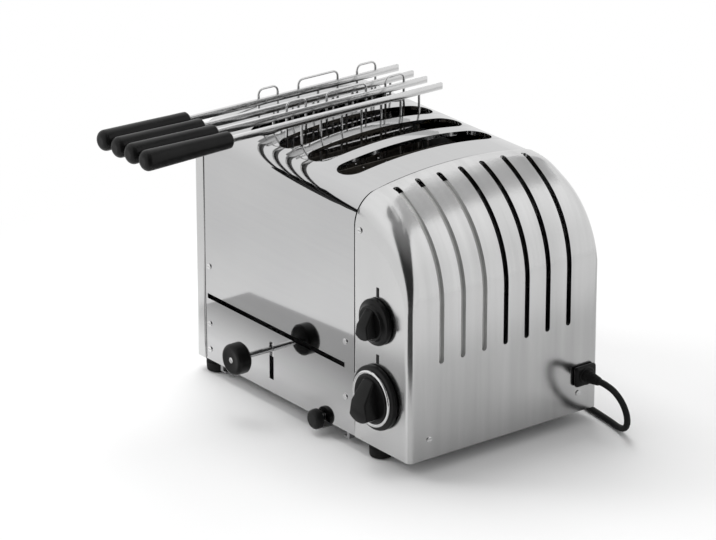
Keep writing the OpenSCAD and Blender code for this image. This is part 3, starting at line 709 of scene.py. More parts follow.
@dataclass
class Casing:
    """Folded shell and the two end castings."""

    workshop: Workshop
    crown_r: float = 430 * MM
    shoulder_r: float = 28 * MM
    sheet: float = 1.2 * MM
    wall: float = 4 * MM
    slot_width: float = 26 * MM
    slot_length: float = 158 * MM
    slot_pitch: float = 40 * MM
    slot_middle: float = -32 * MM
    slot_lip: float = 3.5 * MM
    slit_margins: tuple[float, float] = (3 * MM, 15 * MM)
    louvre_pitch: float = 22.5 * MM
    louvre_width: float = 5 * MM
    louvre_count: int = 7
    louvre_low: float = 97 * MM
    louvre_margin: float = 12 * MM
    end_curve_r: float = 92 * MM
    far_curve_r: float = 12 * MM
    corner_r: float = 5 * MM
    upper_corner_r: float = 33 * MM
    slit: float = 4.5 * MM
    seam_gap: float = 1.9 * MM
    far_seam_gap: float = 0.2 * MM
    seam_edge: float = 0.8 * MM
    sharp_deg: float = 40.0
    slot_steps: int = 14
    louvre_steps: int = 6
    flat_step: float = 20 * MM
    curve_step: float = 3 * MM
    column_step: float = 7 * MM
    end_margin: float = 2 * MM
    edge_margin: float = 4 * MM
    inner_drop: float = 60 * MM

    def __post_init__(self) -> None:
        """Reads the places of the frame."""
        self.low, self.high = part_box("control_casting")
        self.far_low, self.far_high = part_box("far_casting")
        self.shell_low, self.shell_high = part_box("shell")
        self.arch = Arch(self.high.y, self.high.z, self.crown_r, self.shoulder_r)
        proud = self.high.y - self.shell_high.y
        self.sheet_arch = Arch(self.shell_high.y, self.high.z - proud, self.crown_r - proud,
                               self.shoulder_r - proud)

    def build(self) -> None:
        """Builds the shell and the castings."""
        self.shell()
        self.control_end()
        self.far_end()

    def shell(self) -> None:
        """Folded sheet with its four slots and the front's lower edge."""
        arch, low = self.sheet_arch, self.shell_low.z
        ends, half = (self.slot_length - self.slot_width) / 2, self.slot_width / 2
        slots = [RoundedEnd(self.slot_middle + (1.5 - k) * self.slot_pitch, half, self.slot_steps)
                 for k in range(4)]
        front, back = arch.travel_at(-ends, low), arch.travel_at(ends, low)
        panel_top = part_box("front_lower_panel")[1].z
        tab, slit_top = panel_top - low, panel_top - low + self.slit
        reach = half + self.end_margin
        bend = arch.shoulder_z - low
        whole = 2 * arch.spans(low)[2]
        guard = [(front - reach, front - MM), (back + MM, back + reach)]
        smooth = clear_of(merged(spread(slit_top, bend, self.flat_step),
                                 spread(bend, whole - bend, self.curve_step),
                                 spread(whole - bend, whole, self.flat_step)), guard)
        rows = merged([tab, slit_top], smooth, [front, back])
        sides = [(slot.middle - slot.half_width, slot.middle + slot.half_width) for slot in slots]
        ends_x = (self.shell_low.x + self.far_seam_gap, self.shell_high.x - self.seam_gap)
        between = clear_of(spread(*ends_x, self.column_step), sides)
        slit_x = [self.shell_low.x + self.slit_margins[0], self.shell_high.x - self.slit_margins[1]]
        columns = merged(between, slit_x, *[slot.columns() for slot in slots])

        def surface(travel: float, x: float) -> Vector:
            """Point on the sheet's outside."""
            return Vector((x, *arch.point(travel, low)))

        def opened(middle: Vector) -> bool:
            """Whether a face lies in the slit above the front's lower panel."""
            return middle.y < 0 and middle.z < panel_top + self.slit and slit_x[0] < middle.x < slit_x[1]

        mesh = Skin(rows, columns, surface, [(slot, front, back) for slot in slots]).mesh()
        slit = [face for face in mesh.faces if opened(face.calc_center_median())]
        bmesh.ops.delete(mesh, geom=slit, context="FACES")
        self.turn_in(mesh)
        thickened(mesh, self.sheet, Vector((self.slot_middle, 0.0, arch.shoulder_z - self.inner_drop)))
        self.workshop.piece("folded_shell", mesh, Slot.SHEET, Body.HOUSING, ["shell"])

    def turn_in(self, mesh: bmesh.types.BMesh) -> None:
        """Turns the slots' edges down into a short lip."""
        reach = self.slot_length / 2 + MM
        first, last = self.shell_low.x + self.edge_margin, self.shell_high.x - self.edge_margin

        def at_slot(place: Vector) -> bool:
            """Whether a point of the sheet's edges belongs to a slot."""
            return abs(place.y) < reach and place.z > self.arch.shoulder_z and first < place.x < last

        rims = [edge for edge in mesh.edges if edge.is_boundary and all(at_slot(vert.co) for vert in edge.verts)]
        made = bmesh.ops.extrude_edge_only(mesh, edges=rims)
        lip = [item for item in made["geom"] if isinstance(item, bmesh.types.BMVert)]
        bmesh.ops.translate(mesh, verts=lip, vec=(0, 0, -self.slot_lip))
        bmesh.ops.recalc_face_normals(mesh, faces=mesh.faces)

    def control_end(self) -> None:
        """Louvred casting that carries the controls."""
        roll_x = self.high.x - self.end_curve_r
        roll_z = self.high.z - math.sqrt(self.end_curve_r ** 2 - (self.shell_high.x - roll_x) ** 2)
        form = CastingForm(self.arch, self.shell_high.x, self.high.x, self.end_curve_r, roll_z, self.low.z,
                           self.corner_r, self.upper_corner_r)
        half = (self.louvre_count - 1) / 2
        louvres = [RoundedEnd((k - half) * self.louvre_pitch, self.louvre_width / 2, self.louvre_steps)
                   for k in range(self.louvre_count)]
        top = form.travel_at_x(self.shell_high.x + self.louvre_margin)
        bottom = form.travel_at_z(self.louvre_low)
        self.cast(form.skin(louvres, top, bottom), form.seam, form.low, "louvred_casting", "control_casting")

    def cast(self, mesh: bmesh.types.BMesh, seam: float, low: float, name: str, node: str) -> None:
        """Gives a casting its wall and rounds its outer edge along the seam, where it stands proud.

        Args:
            mesh: The casting's outside.
            seam: Where it meets the sheet.
            low: Height of its lower edge.
            name: Name of the piece.
            node: CAD node that it stands for.
        """
        thickened(mesh, self.wall, Vector((seam, 0.0, low)))

        def at_rim(place: Vector) -> bool:
            """Whether a point lies on the outer edge at the seam."""
            return abs(place.x - seam) < TINY and self.arch.distance(place.y, place.z)[0] > -MM

        rim = [edge for edge in mesh.edges if all(at_rim(vert.co) for vert in edge.verts)]
        soften(mesh, rim, self.seam_edge, 3)
        self.workshop.piece(name, mesh, Slot.CASTING, Body.HOUSING, [node], self.sharp_deg)

    def far_end(self) -> None:
        """Plain casting at the far end."""
        roll_z = self.far_high.z - self.far_curve_r
        form = CastingForm(self.arch, -self.shell_low.x, -self.far_low.x, self.far_curve_r, roll_z, self.far_low.z,
                           self.corner_r, self.corner_r)
        mesh = form.skin([], 0.0, 0.0)
        bmesh.ops.transform(mesh, matrix=Matrix.Diagonal((-1.0, 1.0, 1.0, 1.0)), verts=mesh.verts)
        bmesh.ops.recalc_face_normals(mesh, faces=mesh.faces)
        self.cast(mesh, -form.seam, form.low, "far_end_casting", "far_casting")


@dataclass(frozen=True)
class CastingForm:
    """Outside of an end casting, on the +X side: an arch that rolls over into an upright face.

    Args:
        arch: Outline across the slots.
        seam: Where the casting meets the sheet.
        reach: Where its upright face stands.
        roll_r: Radius of the roll from the crown to the face.
        roll_z: Height of the roll's centre.
        low: Height of the lower edge.
        corner_r: Radius of the upright corners.
        upper_corner_r: Radius that the corners grow to under the crown.
        turn_share: Share of the roll over which the rounder corners come in.
        rim: How far from the sides the strip over crown and end stops.
        band: Width of the finer columns beside the rim.
        band_steps: Number of those columns.
        fan_steps: Number of columns on each side.
        column_step: Widest column elsewhere.
        level_step: Longest row on the level stretch.
        roll_step: Longest row on the roll, in radians.
        upright_step: Longest row on the upright face.
    """

    arch: Arch
    seam: float
    reach: float
    roll_r: float
    roll_z: float
    low: float
    corner_r: float
    upper_corner_r: float
    turn_share: float = 0.35
    rim: float = 2.5 * MM
    band: float = 26 * MM
    band_steps: int = 14
    fan_steps: int = 22
    column_step: float = 5 * MM
    level_step: float = 4 * MM
    roll_step: float = 0.04
    upright_step: float = 7 * MM

    @property
    def roll_x(self) -> float:
        """Place of the roll's centre."""
        return self.reach - self.roll_r

    @property
    def flat(self) -> float:
        """Length of the level stretch before the roll."""
        return max(0.0, self.roll_x - self.seam)

    @property
    def first_angle(self) -> float:
        """Angle of the roll at its start, from the vertical."""
        return math.asin(max(0.0, self.seam - self.roll_x) / self.roll_r)

    def travel_at_x(self, x: float) -> float:
        """Distance along the end's outline to a place on the roll."""
        return self.flat + (math.asin((x - self.roll_x) / self.roll_r) - self.first_angle) * self.roll_r

    def travel_at_z(self, z: float) -> float:
        """Distance along the end's outline to a height on the upright face."""
        return self.flat + (math.pi / 2 - self.first_angle) * self.roll_r + self.roll_z - z

    def outline(self, travel: float) -> tuple[float, float]:
        """Point on the end's outline, seen from the front."""
        arc = (math.pi / 2 - self.first_angle) * self.roll_r
        if travel < self.flat:
            return self.seam + travel, self.roll_z + self.roll_r
        if travel < self.flat + arc:
            angle = self.first_angle + (travel - self.flat) / self.roll_r
            return self.roll_x + self.roll_r * math.sin(angle), self.roll_z + self.roll_r * math.cos(angle)
        return self.reach, self.roll_z - (travel - self.flat - arc)

    def outside(self, x: float, y: float, z: float) -> float:
        """How far a point lies outside the casting, whose upright corners widen into the shoulders."""
        arch, arch_up = self.arch.distance(y, z)
        if z <= self.roll_z:
            roll, turn = x - self.reach, math.pi / 2
        elif x >= self.roll_x:
            roll = math.hypot(x - self.roll_x, z - self.roll_z) - self.roll_r
            turn = math.atan2(x - self.roll_x, z - self.roll_z)
        else:
            roll, turn = z - self.roll_z - self.roll_r, 0.0
        plain = self.joined(arch, roll, self.corner_r * (1.0 - arch_up * math.cos(turn)))
        if self.upper_corner_r <= self.corner_r:
            return plain
        along = max(0.0, (turn - self.first_angle) / (math.pi / 2 - self.first_angle))
        edge = self.corner_r + (self.upper_corner_r - self.corner_r) * (1 - along)
        drop = self.arch.crown_r - math.sqrt(self.arch.crown_r ** 2 - y * y)
        rounded = self.joined(roll + drop * (1 - along) ** 3, abs(y) - self.arch.half_depth, edge)
        share = min(1.0, along / self.turn_share)
        share *= share * (3 - 2 * share)
        return plain * (1 - share) + rounded * share

    @staticmethod
    def joined(first: float, second: float, rounding: float) -> float:
        """Distance outside two surfaces that meet in a rounded edge."""
        return min(-rounding, max(first, second)) + math.hypot(max(0.0, rounding + first),
                                                               max(0.0, rounding + second))

    def along_ray(self, travel: float, y: float) -> tuple[float, float]:
        """Where a ray from the seam's foot leaves the casting, in the plane at a depth."""
        end = self.outline(travel)

        def outside(share: float) -> float:
            """Distance outside the casting at a share of the ray."""
            x, z = self.shared(*end, share)
            return self.outside(x, y, z)

        return self.shared(*end, last_inside(outside, 1.05))

    def shared(self, x: float, z: float, share: float) -> tuple[float, float]:
        """Point at a share of the way from the seam's foot to a place."""
        return self.seam + share * (x - self.seam), self.low + share * (z - self.low)

    def side_depth(self, x: float, z: float) -> float:
        """Depth of the casting's side at a place seen from the front."""
        return last_inside(lambda y: self.outside(x, y, z), self.arch.half_depth * 1.02)

    def skin(self, cuts: Sequence[RoundedEnd], top: float, bottom: float) -> bmesh.types.BMesh:
        """Builds the open skin: the end and the crown as one strip, and a fan on each side.

        Args:
            cuts: Louvres across the strip.
            top: Where the louvres' straight sides start on the end's outline.
            bottom: Where they end.

        Returns:
            The mesh.
        """
        edge = self.arch.half_depth - self.rim
        fan = [1 - (k / self.fan_steps) ** 1.6 for k in range(1, self.fan_steps + 1)]
        wide = spread(0.0, edge - self.band, self.column_step)
        near = [edge - self.band * (k / self.band_steps) ** 1.5 for k in range(self.band_steps)]
        spans = [(cut.middle - cut.half_width, cut.middle + cut.half_width) for cut in cuts]
        strip = merged([-v for v in wide], [-v for v in near], wide, near)
        strip = merged(clear_of(strip, spans), *[cut.columns() for cut in cuts])
        columns = [-1 - (1 - f) for f in reversed(fan)] + strip + [1 + (1 - f) for f in fan]
        arc_end = self.flat + (math.pi / 2 - self.first_angle) * self.roll_r
        whole = arc_end + self.roll_z - self.low
        rows = merged(spread(0.0, self.flat, self.level_step),
                      spread(self.flat, arc_end, self.roll_r * self.roll_step),
                      spread(arc_end, whole, self.upright_step))
        if cuts:
            reach = cuts[0].half_width + MM
            guard = [(top - reach, top + MM), (bottom - MM, bottom + reach)]
            rows = merged(clear_of(rows, guard), [top, bottom])

        def surface(travel: float, column: float) -> Vector:
            """Point on the casting's outside."""
            if abs(column) < edge + TINY:
                x, z = self.along_ray(travel, column)
                return Vector((x, column, z))
            x, z = self.shared(*self.along_ray(travel, edge), 2 - abs(column))
            return Vector((x, math.copysign(self.side_depth(x, z), column), z))

        return Skin(rows, columns, surface, [(cut, top, bottom) for cut in cuts]).mesh()


@dataclass
class Knob:
    """A control knob: skirt, raised dial and a grip that narrows to its pointer."""

    node: str
    body: Body
    workshop: Workshop
    skirt: float = 5.5 * MM
    dial: float = 2.5 * MM
    dial_share: float = 0.76
    grip_share: float = 0.64
    foot_share: float = 0.42
    nose_share: float = 0.24
    nose_height: float = 0.2
    foot_edge: float = 0.6 * MM
    skirt_edge: float = 1.8 * MM
    skirt_fall: float = 0.8 * MM
    dial_edge: float = 1.2 * MM
    dial_dish: float = 0.6 * MM
    grip_root: float = 1.5 * MM
    grip_edge: float = 1.4 * MM

    def build(self) -> None:
        """Builds the knob."""
        low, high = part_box(self.node)
        radius = (high.x - low.x) / 2
        dial_r = radius * self.dial_share
        base, top = self.skirt, self.skirt + self.dial
        profile = [(0.0, 0.0), (radius - self.foot_edge, 0.0), (radius, self.foot_edge)]
        profile += rounded_corner(radius, base - self.skirt_fall, self.skirt_edge)
        profile += [(dial_r + self.dial_edge, base), *rounded_corner(dial_r, top, self.dial_edge),
                    (dial_r * 0.8, top - self.dial_dish * 2 / 3), (0.0, top - self.dial_dish)]
        mesh = spun(profile, 72)
        self.grip(mesh, radius, top - self.grip_root, high.y - low.y)
        self.workshop.piece(f"{self.node}_moulding", facing_front(mesh, seat(low, high)), Slot.MOULDING, self.body,
                            [self.node], 40.0)

    def grip(self, mesh: bmesh.types.BMesh, radius: float, low: float, high: float) -> None:
        """Adds the grip: a bar with rounded ends and softened edges."""
        reach = radius * self.grip_share
        foot, nose = radius * self.foot_share, radius * self.nose_share
        start, end = math.asin(min(1.0, foot / reach)), math.asin(min(1.0, nose / reach))
        lower = [(reach * math.sin(start * k / 4), -reach * math.cos(start * k / 4)) for k in range(-4, 5)]
        upper = [(reach * math.sin(end * k / 3), reach * math.cos(end * k / 3)) for k in range(3, -4, -1)]
        sides = [(foot + (nose - foot) * 0.5, 0.0)]
        outline = lower + sides + upper + [(-x, y) for x, y in sides]
        points = [mesh.verts.new((x, y, low)) for x, y in outline]
        face = mesh.faces.new(points)
        made = bmesh.ops.extrude_face_region(mesh, geom=[face])
        lifted = [item for item in made["geom"] if isinstance(item, bmesh.types.BMVert)]
        for vert in lifted:
            slope = max(0.0, vert.co.y / reach) * (1 - self.nose_height)
            vert.co.z = low + (high - low) * (1 - slope)
        lids = [item for item in made["geom"] if isinstance(item, bmesh.types.BMFace)]
        across = [vert for vert in lifted if abs(vert.co.y) < 1e-6]
        split = bmesh.ops.connect_verts(mesh, verts=across)["edges"]
        lids = list({face for lid in lids for edge in lid.edges for face in edge.link_faces
                     if all(vert in lifted for vert in face.verts)})
        soften(mesh, list({edge for lid in lids for edge in lid.edges if edge not in split}), self.grip_edge, 4)
        bmesh.ops.recalc_face_normals(mesh, faces=mesh.faces)


@dataclass
class TimerRing:
    """Polished ring round the timer's dial, rounded towards the front."""

    workshop: Workshop
    width: float = 3 * MM
    edge: float = 0.9 * MM

    def build(self) -> None:
        """Builds the ring."""
        low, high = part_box("timer_ring")
        outer, height = (high.x - low.x) / 2, high.y - low.y
        inner = outer - self.width
        angles = [math.pi * step / 10 for step in range(11)]
        rise = height - self.edge
        crest = [(outer - self.width / 2 * (1 - math.cos(angle)), self.edge + rise * math.sin(angle))
                 for angle in angles]
        profile = [(inner, 0.0), (outer, 0.0), *crest, (inner, 0.0)]
        mesh = facing_front(spun(profile, 96), seat(low, high))
        self.workshop.piece("timer_ring_bezel", mesh, Slot.WIRE, Body.TIMER, ["timer_ring"])


@dataclass
class LeverKnob:
    """Round knob of the ejector lever, with a pale dot in its middle."""

    workshop: Workshop
    edge: float = 3.2 * MM
    dish: float = 0.7 * MM
    dot_r: float = 2.6 * MM
    dot_edge: float = 0.4 * MM

    def build(self) -> None:
        """Builds the knob and its dot."""
        low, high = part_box("lever_knob")
        radius, height = (high.x - low.x) / 2, high.y - low.y
        top, place = height - self.dish, seat(low, high)
        profile = [(0.0, 0.0), (radius * 0.5, 0.0), (radius * 0.9, self.edge / 4), (radius, self.edge * 0.75)]
        profile += rounded_corner(radius, height, self.edge, 7)
        profile += [(radius * 0.6, height - self.dish * 0.5), (radius * 0.3, top), (0.0, top)]
        mesh = facing_front(spun(profile, 72), place)
        self.workshop.piece("lever_knob_moulding", mesh, Slot.MOULDING, Body.LEVER, ["lever_knob"])
        dot = spun([(0.0, top - MM), (self.dot_r, top - MM),
                    *rounded_corner(self.dot_r, top + self.dot_edge, self.dot_edge, 3),
                    (0.0, top + self.dot_edge * 1.25)], 32)
        self.workshop.piece("lever_rod_end", facing_front(dot, place), Slot.WIRE, Body.LEVER)


@dataclass
class Cage:
    """A sandwich cage: two wire grids on flat bars, with tapered handles."""

    prefix: str
    body: Body
    workshop: Workshop
    wire_r: float = 1.1 * MM
    thin_r: float = 0.93 * MM
    bar_thickness: float = 2.4 * MM
    bar_height: float = 6 * MM
    bar_edge: float = 0.5 * MM
    hoop_rise: float = 9 * MM
    bend_r: float = 5 * MM
    overhang: float = 4 * MM
    wire_step: float = 0.2 * MM
    floor_gap: float = 0.3 * MM
    handle_taper: float = 0.8
    handle_edge: float = 5.5 * MM
    handle_root: float = 6 * MM
    root_edge: float = 1.2 * MM
    root_rise: float = 1.4 * MM
    root_swell: float = 0.2 * MM
    wires: tuple[float, ...] = (-66 * MM, -46 * MM, -24 * MM, -3 * MM, 18 * MM, 39 * MM, 59 * MM)
    hoops: tuple[tuple[int, int], ...] = ((0, 1), (2, 4), (5, 6))
    levels: tuple[float, ...] = (32 * MM, 67 * MM, 102 * MM)

    def build(self) -> None:
        """Builds both halves and the handles."""
        pin_low, pin_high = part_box(f"{self.prefix}_pin")
        self.pin = (pin_low + pin_high) / 2
        for half, side in (("a", -1.0), ("b", 1.0)):
            self.grid(half, side)
        self.handles()

    def grid(self, half: str, side: float) -> None:
        """Builds one half: bar, upright wires, hoops on the far half, and level wires."""
        node = f"{self.prefix}_grid_{half}"
        low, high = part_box(node)
        outer = low.x if side < 0 else high.x
        x = outer - side * self.bar_thickness / 2
        bar_z = (high.z - self.hoop_rise if side < 0 else high.z) - self.bar_height / 2
        mesh = bmesh.new()
        half_bar = Vector((self.bar_thickness / 2, 0.0, self.bar_height / 2))
        block(mesh, Vector((x, low.y, bar_z)) - half_bar, Vector((x, high.y, bar_z)) + half_bar, self.bar_edge, 2)
        foot = low.z + self.thin_r
        hooped = {k for pair in self.hoops for k in pair} if side < 0 else set()
        for k, y in enumerate(self.wires):
            top = high.z - self.thin_r - self.bend_r if k in hooped else bar_z
            rod(mesh, Vector((x, y, foot)), Vector((x, y, top)), self.wire_r)
        if side < 0:
            for first, last in self.hoops:
                self.hoop(mesh, x, self.wires[first], self.wires[last], high.z - self.thin_r)
        wire_x = x + side * self.wire_step
        heights = [foot, *(low.z - self.floor_gap + level for level in self.levels)]
        ends = [Vector((wire_x, self.pin.y, z)) for z in heights]
        for end in ends:
            rod(mesh, Vector((wire_x, self.wires[0] - self.overhang, end.z)), end, self.thin_r)
        rod(mesh, ends[0], ends[-1], self.wire_r * 0.95)
        self.workshop.piece(f"{node}_wires", mesh, Slot.WIRE, self.body, [node])

    def hoop(self, mesh: bmesh.types.BMesh, x: float, start: float, end: float, top: float) -> None:
        """Adds a hoop: two quarter bends with a straight wire between them."""
        for y, turn, inward in ((start, -1.0, 1.0), (end, 1.0, -1.0)):
            centre = Vector((x, y + inward * self.bend_r, top - self.bend_r))
            place = Matrix.Translation((x, y, top - self.bend_r))
            ring = bmesh.ops.create_circle(mesh, segments=12, radius=self.thin_r, matrix=place)["verts"]
            edges = list({edge for vert in ring for edge in vert.link_edges})
            bmesh.ops.spin(mesh, geom=ring + edges, cent=centre, axis=(1, 0, 0), angle=turn * math.pi / 2, steps=8)
        rod(mesh, Vector((x, start + self.bend_r, top)), Vector((x, end - self.bend_r, top)), self.thin_r)

    def handles(self) -> None:
        """Builds the two tapered handles with their rounded ends."""
        node = f"{self.prefix}_handles"
        low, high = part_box(node)
        outer_r, length, root = (high.z - low.z) / 2, high.y - low.y, self.handle_root
        inner_r = outer_r * self.handle_taper
        profile = [(0.0, 0.0), (inner_r - self.root_edge, 0.0), (inner_r, self.root_rise),
                   (inner_r + self.root_swell, root)]
        profile += [(inner_r + (outer_r - inner_r) * (k / 8) ** 0.85, root + (length - 2 * root) * k / 8)
                    for k in range(1, 8)]
        profile += rounded_corner(outer_r, length, self.handle_edge, 8)
        profile += [(outer_r * 0.35, length), (0.0, length)]
        both = bmesh.new()
        for x in (low.x + outer_r, high.x - outer_r):
            add(both, spun(profile), Matrix.Translation((x, high.y, (low.z + high.z) / 2)) @ FRONTWARDS)
        self.workshop.piece(f"{self.prefix}_handle_mouldings", both, Slot.MOULDING, self.body, [node])


@dataclass
class Footings:
    """Rubber feet and the crumb tray's pull."""

    workshop: Workshop
    foot_r: float = 10.5 * MM
    foot_edge: float = 0.6 * MM
    stud_r: float = 3.5 * MM
    pull_edge: float = 3.5 * MM

    def build(self) -> None:
        """Builds the feet and the pull."""
        low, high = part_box("feet")
        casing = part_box("control_casting")[0].z
        rubber = bmesh.new()
        for x in (low.x + self.foot_r, high.x - self.foot_r):
            for y in (low.y + self.foot_r, high.y - self.foot_r):
                add(rubber, self.foot(casing, high.z), Matrix.Translation((x, y, 0.0)))
        self.workshop.piece("rubber_feet", rubber, Slot.RUBBER, Body.HOUSING, ["feet"])
        low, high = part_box("tray_pull")
        radius, length = (high.x - low.x) / 2, high.y - low.y
        profile = [(0.0, 0.0), (radius * 0.8, 0.0), (radius * 0.92, length * 0.08), (radius, length * 0.2),
                   *rounded_corner(radius, length, self.pull_edge, 7), (0.0, length)]
        pull = facing_front(spun(profile), seat(low, high))
        self.workshop.piece("tray_pull_moulding", pull, Slot.MOULDING, Body.TRAY, ["tray_pull"])

    def foot(self, casing: float, stud_top: float) -> bmesh.types.BMesh:
        """One foot: a tapered pad with a groove under its collar, and its stud."""
        r, edge = self.foot_r, self.foot_edge
        pad = [(0.0, 0.0), (r * 0.8, 0.0), (r * 0.9, 0.5 * MM), (r * 0.94, 1.6 * MM), (r * 0.97, casing * 0.62)]
        groove = [(r * 0.88, casing * 0.68), (r * 0.88, casing * 0.76)]
        collar = [(r, casing * 0.82), (r, casing - edge), (r - edge, casing)]
        stud = [(self.stud_r, casing), (self.stud_r, stud_top), (0.0, stud_top)]
        return spun(pad + groove + collar + stud, 40)


@dataclass
class CordFittings:
    """Gland and strain relief at the casing, and the plug with its pins."""

    workshop: Workshop
    cord_r: float
    gland_edge: float = 2.4 * MM
    ring: float = 1.0 * MM
    rib_pitch: float = 3.0 * MM
    rib_depth: float = 0.7 * MM
    plug_corner: float = 9 * MM
    plug_edge: float = 2.2 * MM
    plug_draft: float = 0.94
    earth_pin: tuple[float, float, float] = (8 * MM, 4 * MM, 22 * MM)
    live_pin: tuple[float, float, float] = (4 * MM, 6.4 * MM, 17 * MM)
    pin_offset: float = 11 * MM
    pin_edge: float = 0.6 * MM
    face_margin: float = 2 * MM
    sleeve: float = 8 * MM
    sleeve_wall: float = 0.15 * MM
    relief_r: float = 7 * MM
    relief_plain: float = 6 * MM
    relief_root: float = 4 * MM
    relief_wall: float = 0.8 * MM
    relief_edge: float = 0.6 * MM

    def build(self, cord_end: Vector) -> list[bpy.types.Object]:
        """Builds the fittings.

        Args:
            cord_end: Where the cord goes into its plug.

        Returns:
            The pieces.
        """
        return [self.gland(), self.relief(), self.plug(cord_end), *self.pins()]

    def gland(self) -> bpy.types.Object:
        """Square gland with softened edges and a raised ring round the relief."""
        low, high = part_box("cord_gland")
        mesh = bmesh.new()
        block(mesh, low, Vector((high.x - self.ring, high.y, high.z)), self.gland_edge, 4)
        reach = (high.z - low.z) / 2 - self.ring
        collar = spun([(0.0, 0.0), (reach, 0.0), *rounded_corner(reach, 2 * self.ring, self.ring * 0.7, 4),
                       (0.0, 2 * self.ring)])
        middle = Vector((high.x - 2 * self.ring, (low.y + high.y) / 2, (low.z + high.z) / 2))
        add(mesh, collar, Matrix.Translation(middle) @ SIDEWARDS)
        return self.workshop.piece("gland_moulding", mesh, Slot.MOULDING, Body.HOUSING, ["cord_gland"])

    def relief(self) -> bpy.types.Object:
        """Tapered strain relief with ribs."""
        low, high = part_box("strain_relief")
        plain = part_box("cord_gland")[1].x - low.x + self.ring
        mesh = spun(self.ribbed((high.z - low.z) / 2, high.x - low.x, plain))
        place = Matrix.Translation((low.x, (low.y + high.y) / 2, (low.z + high.z) / 2)) @ SIDEWARDS
        bmesh.ops.transform(mesh, matrix=place, verts=mesh.verts)
        return self.workshop.piece("ribbed_relief", mesh, Slot.RUBBER, Body.HOUSING, ["strain_relief"])

    def ribbed(self, start_r: float, length: float, plain: float) -> list[tuple[float, float]]:
        """Profile of a sleeve that narrows to the cord, with ribs beyond its plain stretch."""
        end_r = self.cord_r + self.relief_wall

        def radius(along: float) -> float:
            """Radius of the sleeve at a distance."""
            return start_r + (end_r - start_r) * along / length

        profile = [(0.0, 0.0), (start_r, 0.0), (radius(plain), plain)]
        for k in range(int((length - plain - self.rib_depth) / self.rib_pitch)):
            low = plain + k * self.rib_pitch
            for share, depth in ((0.12, self.rib_depth), (0.38, self.rib_depth), (0.5, 0.0), (1.0, 0.0)):
                along = low + share * self.rib_pitch
                profile.append((radius(along) - depth, along))
        edge = self.relief_edge
        return profile + [(end_r, length - edge), (end_r - edge, length), (0.0, length)]

    def plug(self, cord_end: Vector) -> bpy.types.Object:
        """Moulded plug with rounded corners, a stepped pin face and its own relief."""
        low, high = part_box("plug_body")
        width = high.y - low.y
        mesh = bmesh.new()
        place = Matrix.Translation((low.x + width / 2, (low.y + high.y) / 2, high.z / 2))
        bmesh.ops.create_cube(mesh, size=1.0, matrix=place @ Matrix.Diagonal((width, width, high.z, 1.0)))
        upright = [edge for edge in mesh.edges if abs(edge.verts[0].co.z - edge.verts[1].co.z) > MM]
        soften(mesh, upright, self.plug_corner, 8)
        lids = [face for face in mesh.faces if abs(face.normal.z) > 0.99]
        soften(mesh, list({edge for lid in lids for edge in lid.edges}), self.plug_edge, 4)
        pin_face = max(mesh.faces, key=lambda face: face.normal.z * face.calc_area())
        bmesh.ops.inset_region(mesh, faces=[pin_face], thickness=self.face_margin, depth=0.0)
        bmesh.ops.inset_region(mesh, faces=[pin_face], thickness=self.pin_edge, depth=-self.pin_edge)
        for vert in mesh.verts:
            share = self.plug_draft + (1 - self.plug_draft) * vert.co.z / high.z
            vert.co.xy = place.translation.xy + (vert.co.xy - place.translation.xy) * share
        relief_length = high.x - low.x - width + self.relief_root
        relief = spun(self.ribbed(self.relief_r, relief_length, self.relief_plain))
        add(mesh, relief, Matrix.Translation((high.x - relief_length, cord_end.y, cord_end.z)) @ SIDEWARDS)
        return self.workshop.piece("plug_moulding", mesh, Slot.MOULDING, Body.HOUSING, ["plug_body"])

    def pins(self) -> list[bpy.types.Object]:
        """Three flat brass pins, of which two are sleeved at their roots."""
        low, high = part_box("plug_body")
        width = high.y - low.y
        middle = Vector((low.x + width / 2, (low.y + high.y) / 2, high.z - MM))
        brass, sleeves = bmesh.new(), bmesh.new()
        self.pin(brass, middle + Vector((-self.pin_offset, 0.0, 0.0)), self.earth_pin, self.earth_pin[2] + MM)
        for side in (-1, 1):
            foot = middle + Vector((self.pin_offset, side * self.pin_offset, 0.0))
            self.pin(brass, foot, self.live_pin, self.live_pin[2] + MM)
            sleeved = [size + 2 * self.sleeve_wall for size in self.live_pin[:2]]
            self.pin(sleeves, foot, sleeved, self.sleeve + MM)
        return [self.workshop.piece("plug_pin_blades", brass, Slot.BRASS, Body.HOUSING, ["plug_pins"]),
                self.workshop.piece("plug_pin_sleeves", sleeves, Slot.MOULDING, Body.HOUSING)]

    def pin(self, mesh: bmesh.types.BMesh, foot: Vector, size: Sequence[float], height: float) -> None:
        """Adds one flat pin that stands on a point."""
        half = Vector((size[0] / 2, size[1] / 2, 0.0))
        block(mesh, foot - half, foot + half + Vector((0.0, 0.0, height)), self.pin_edge)


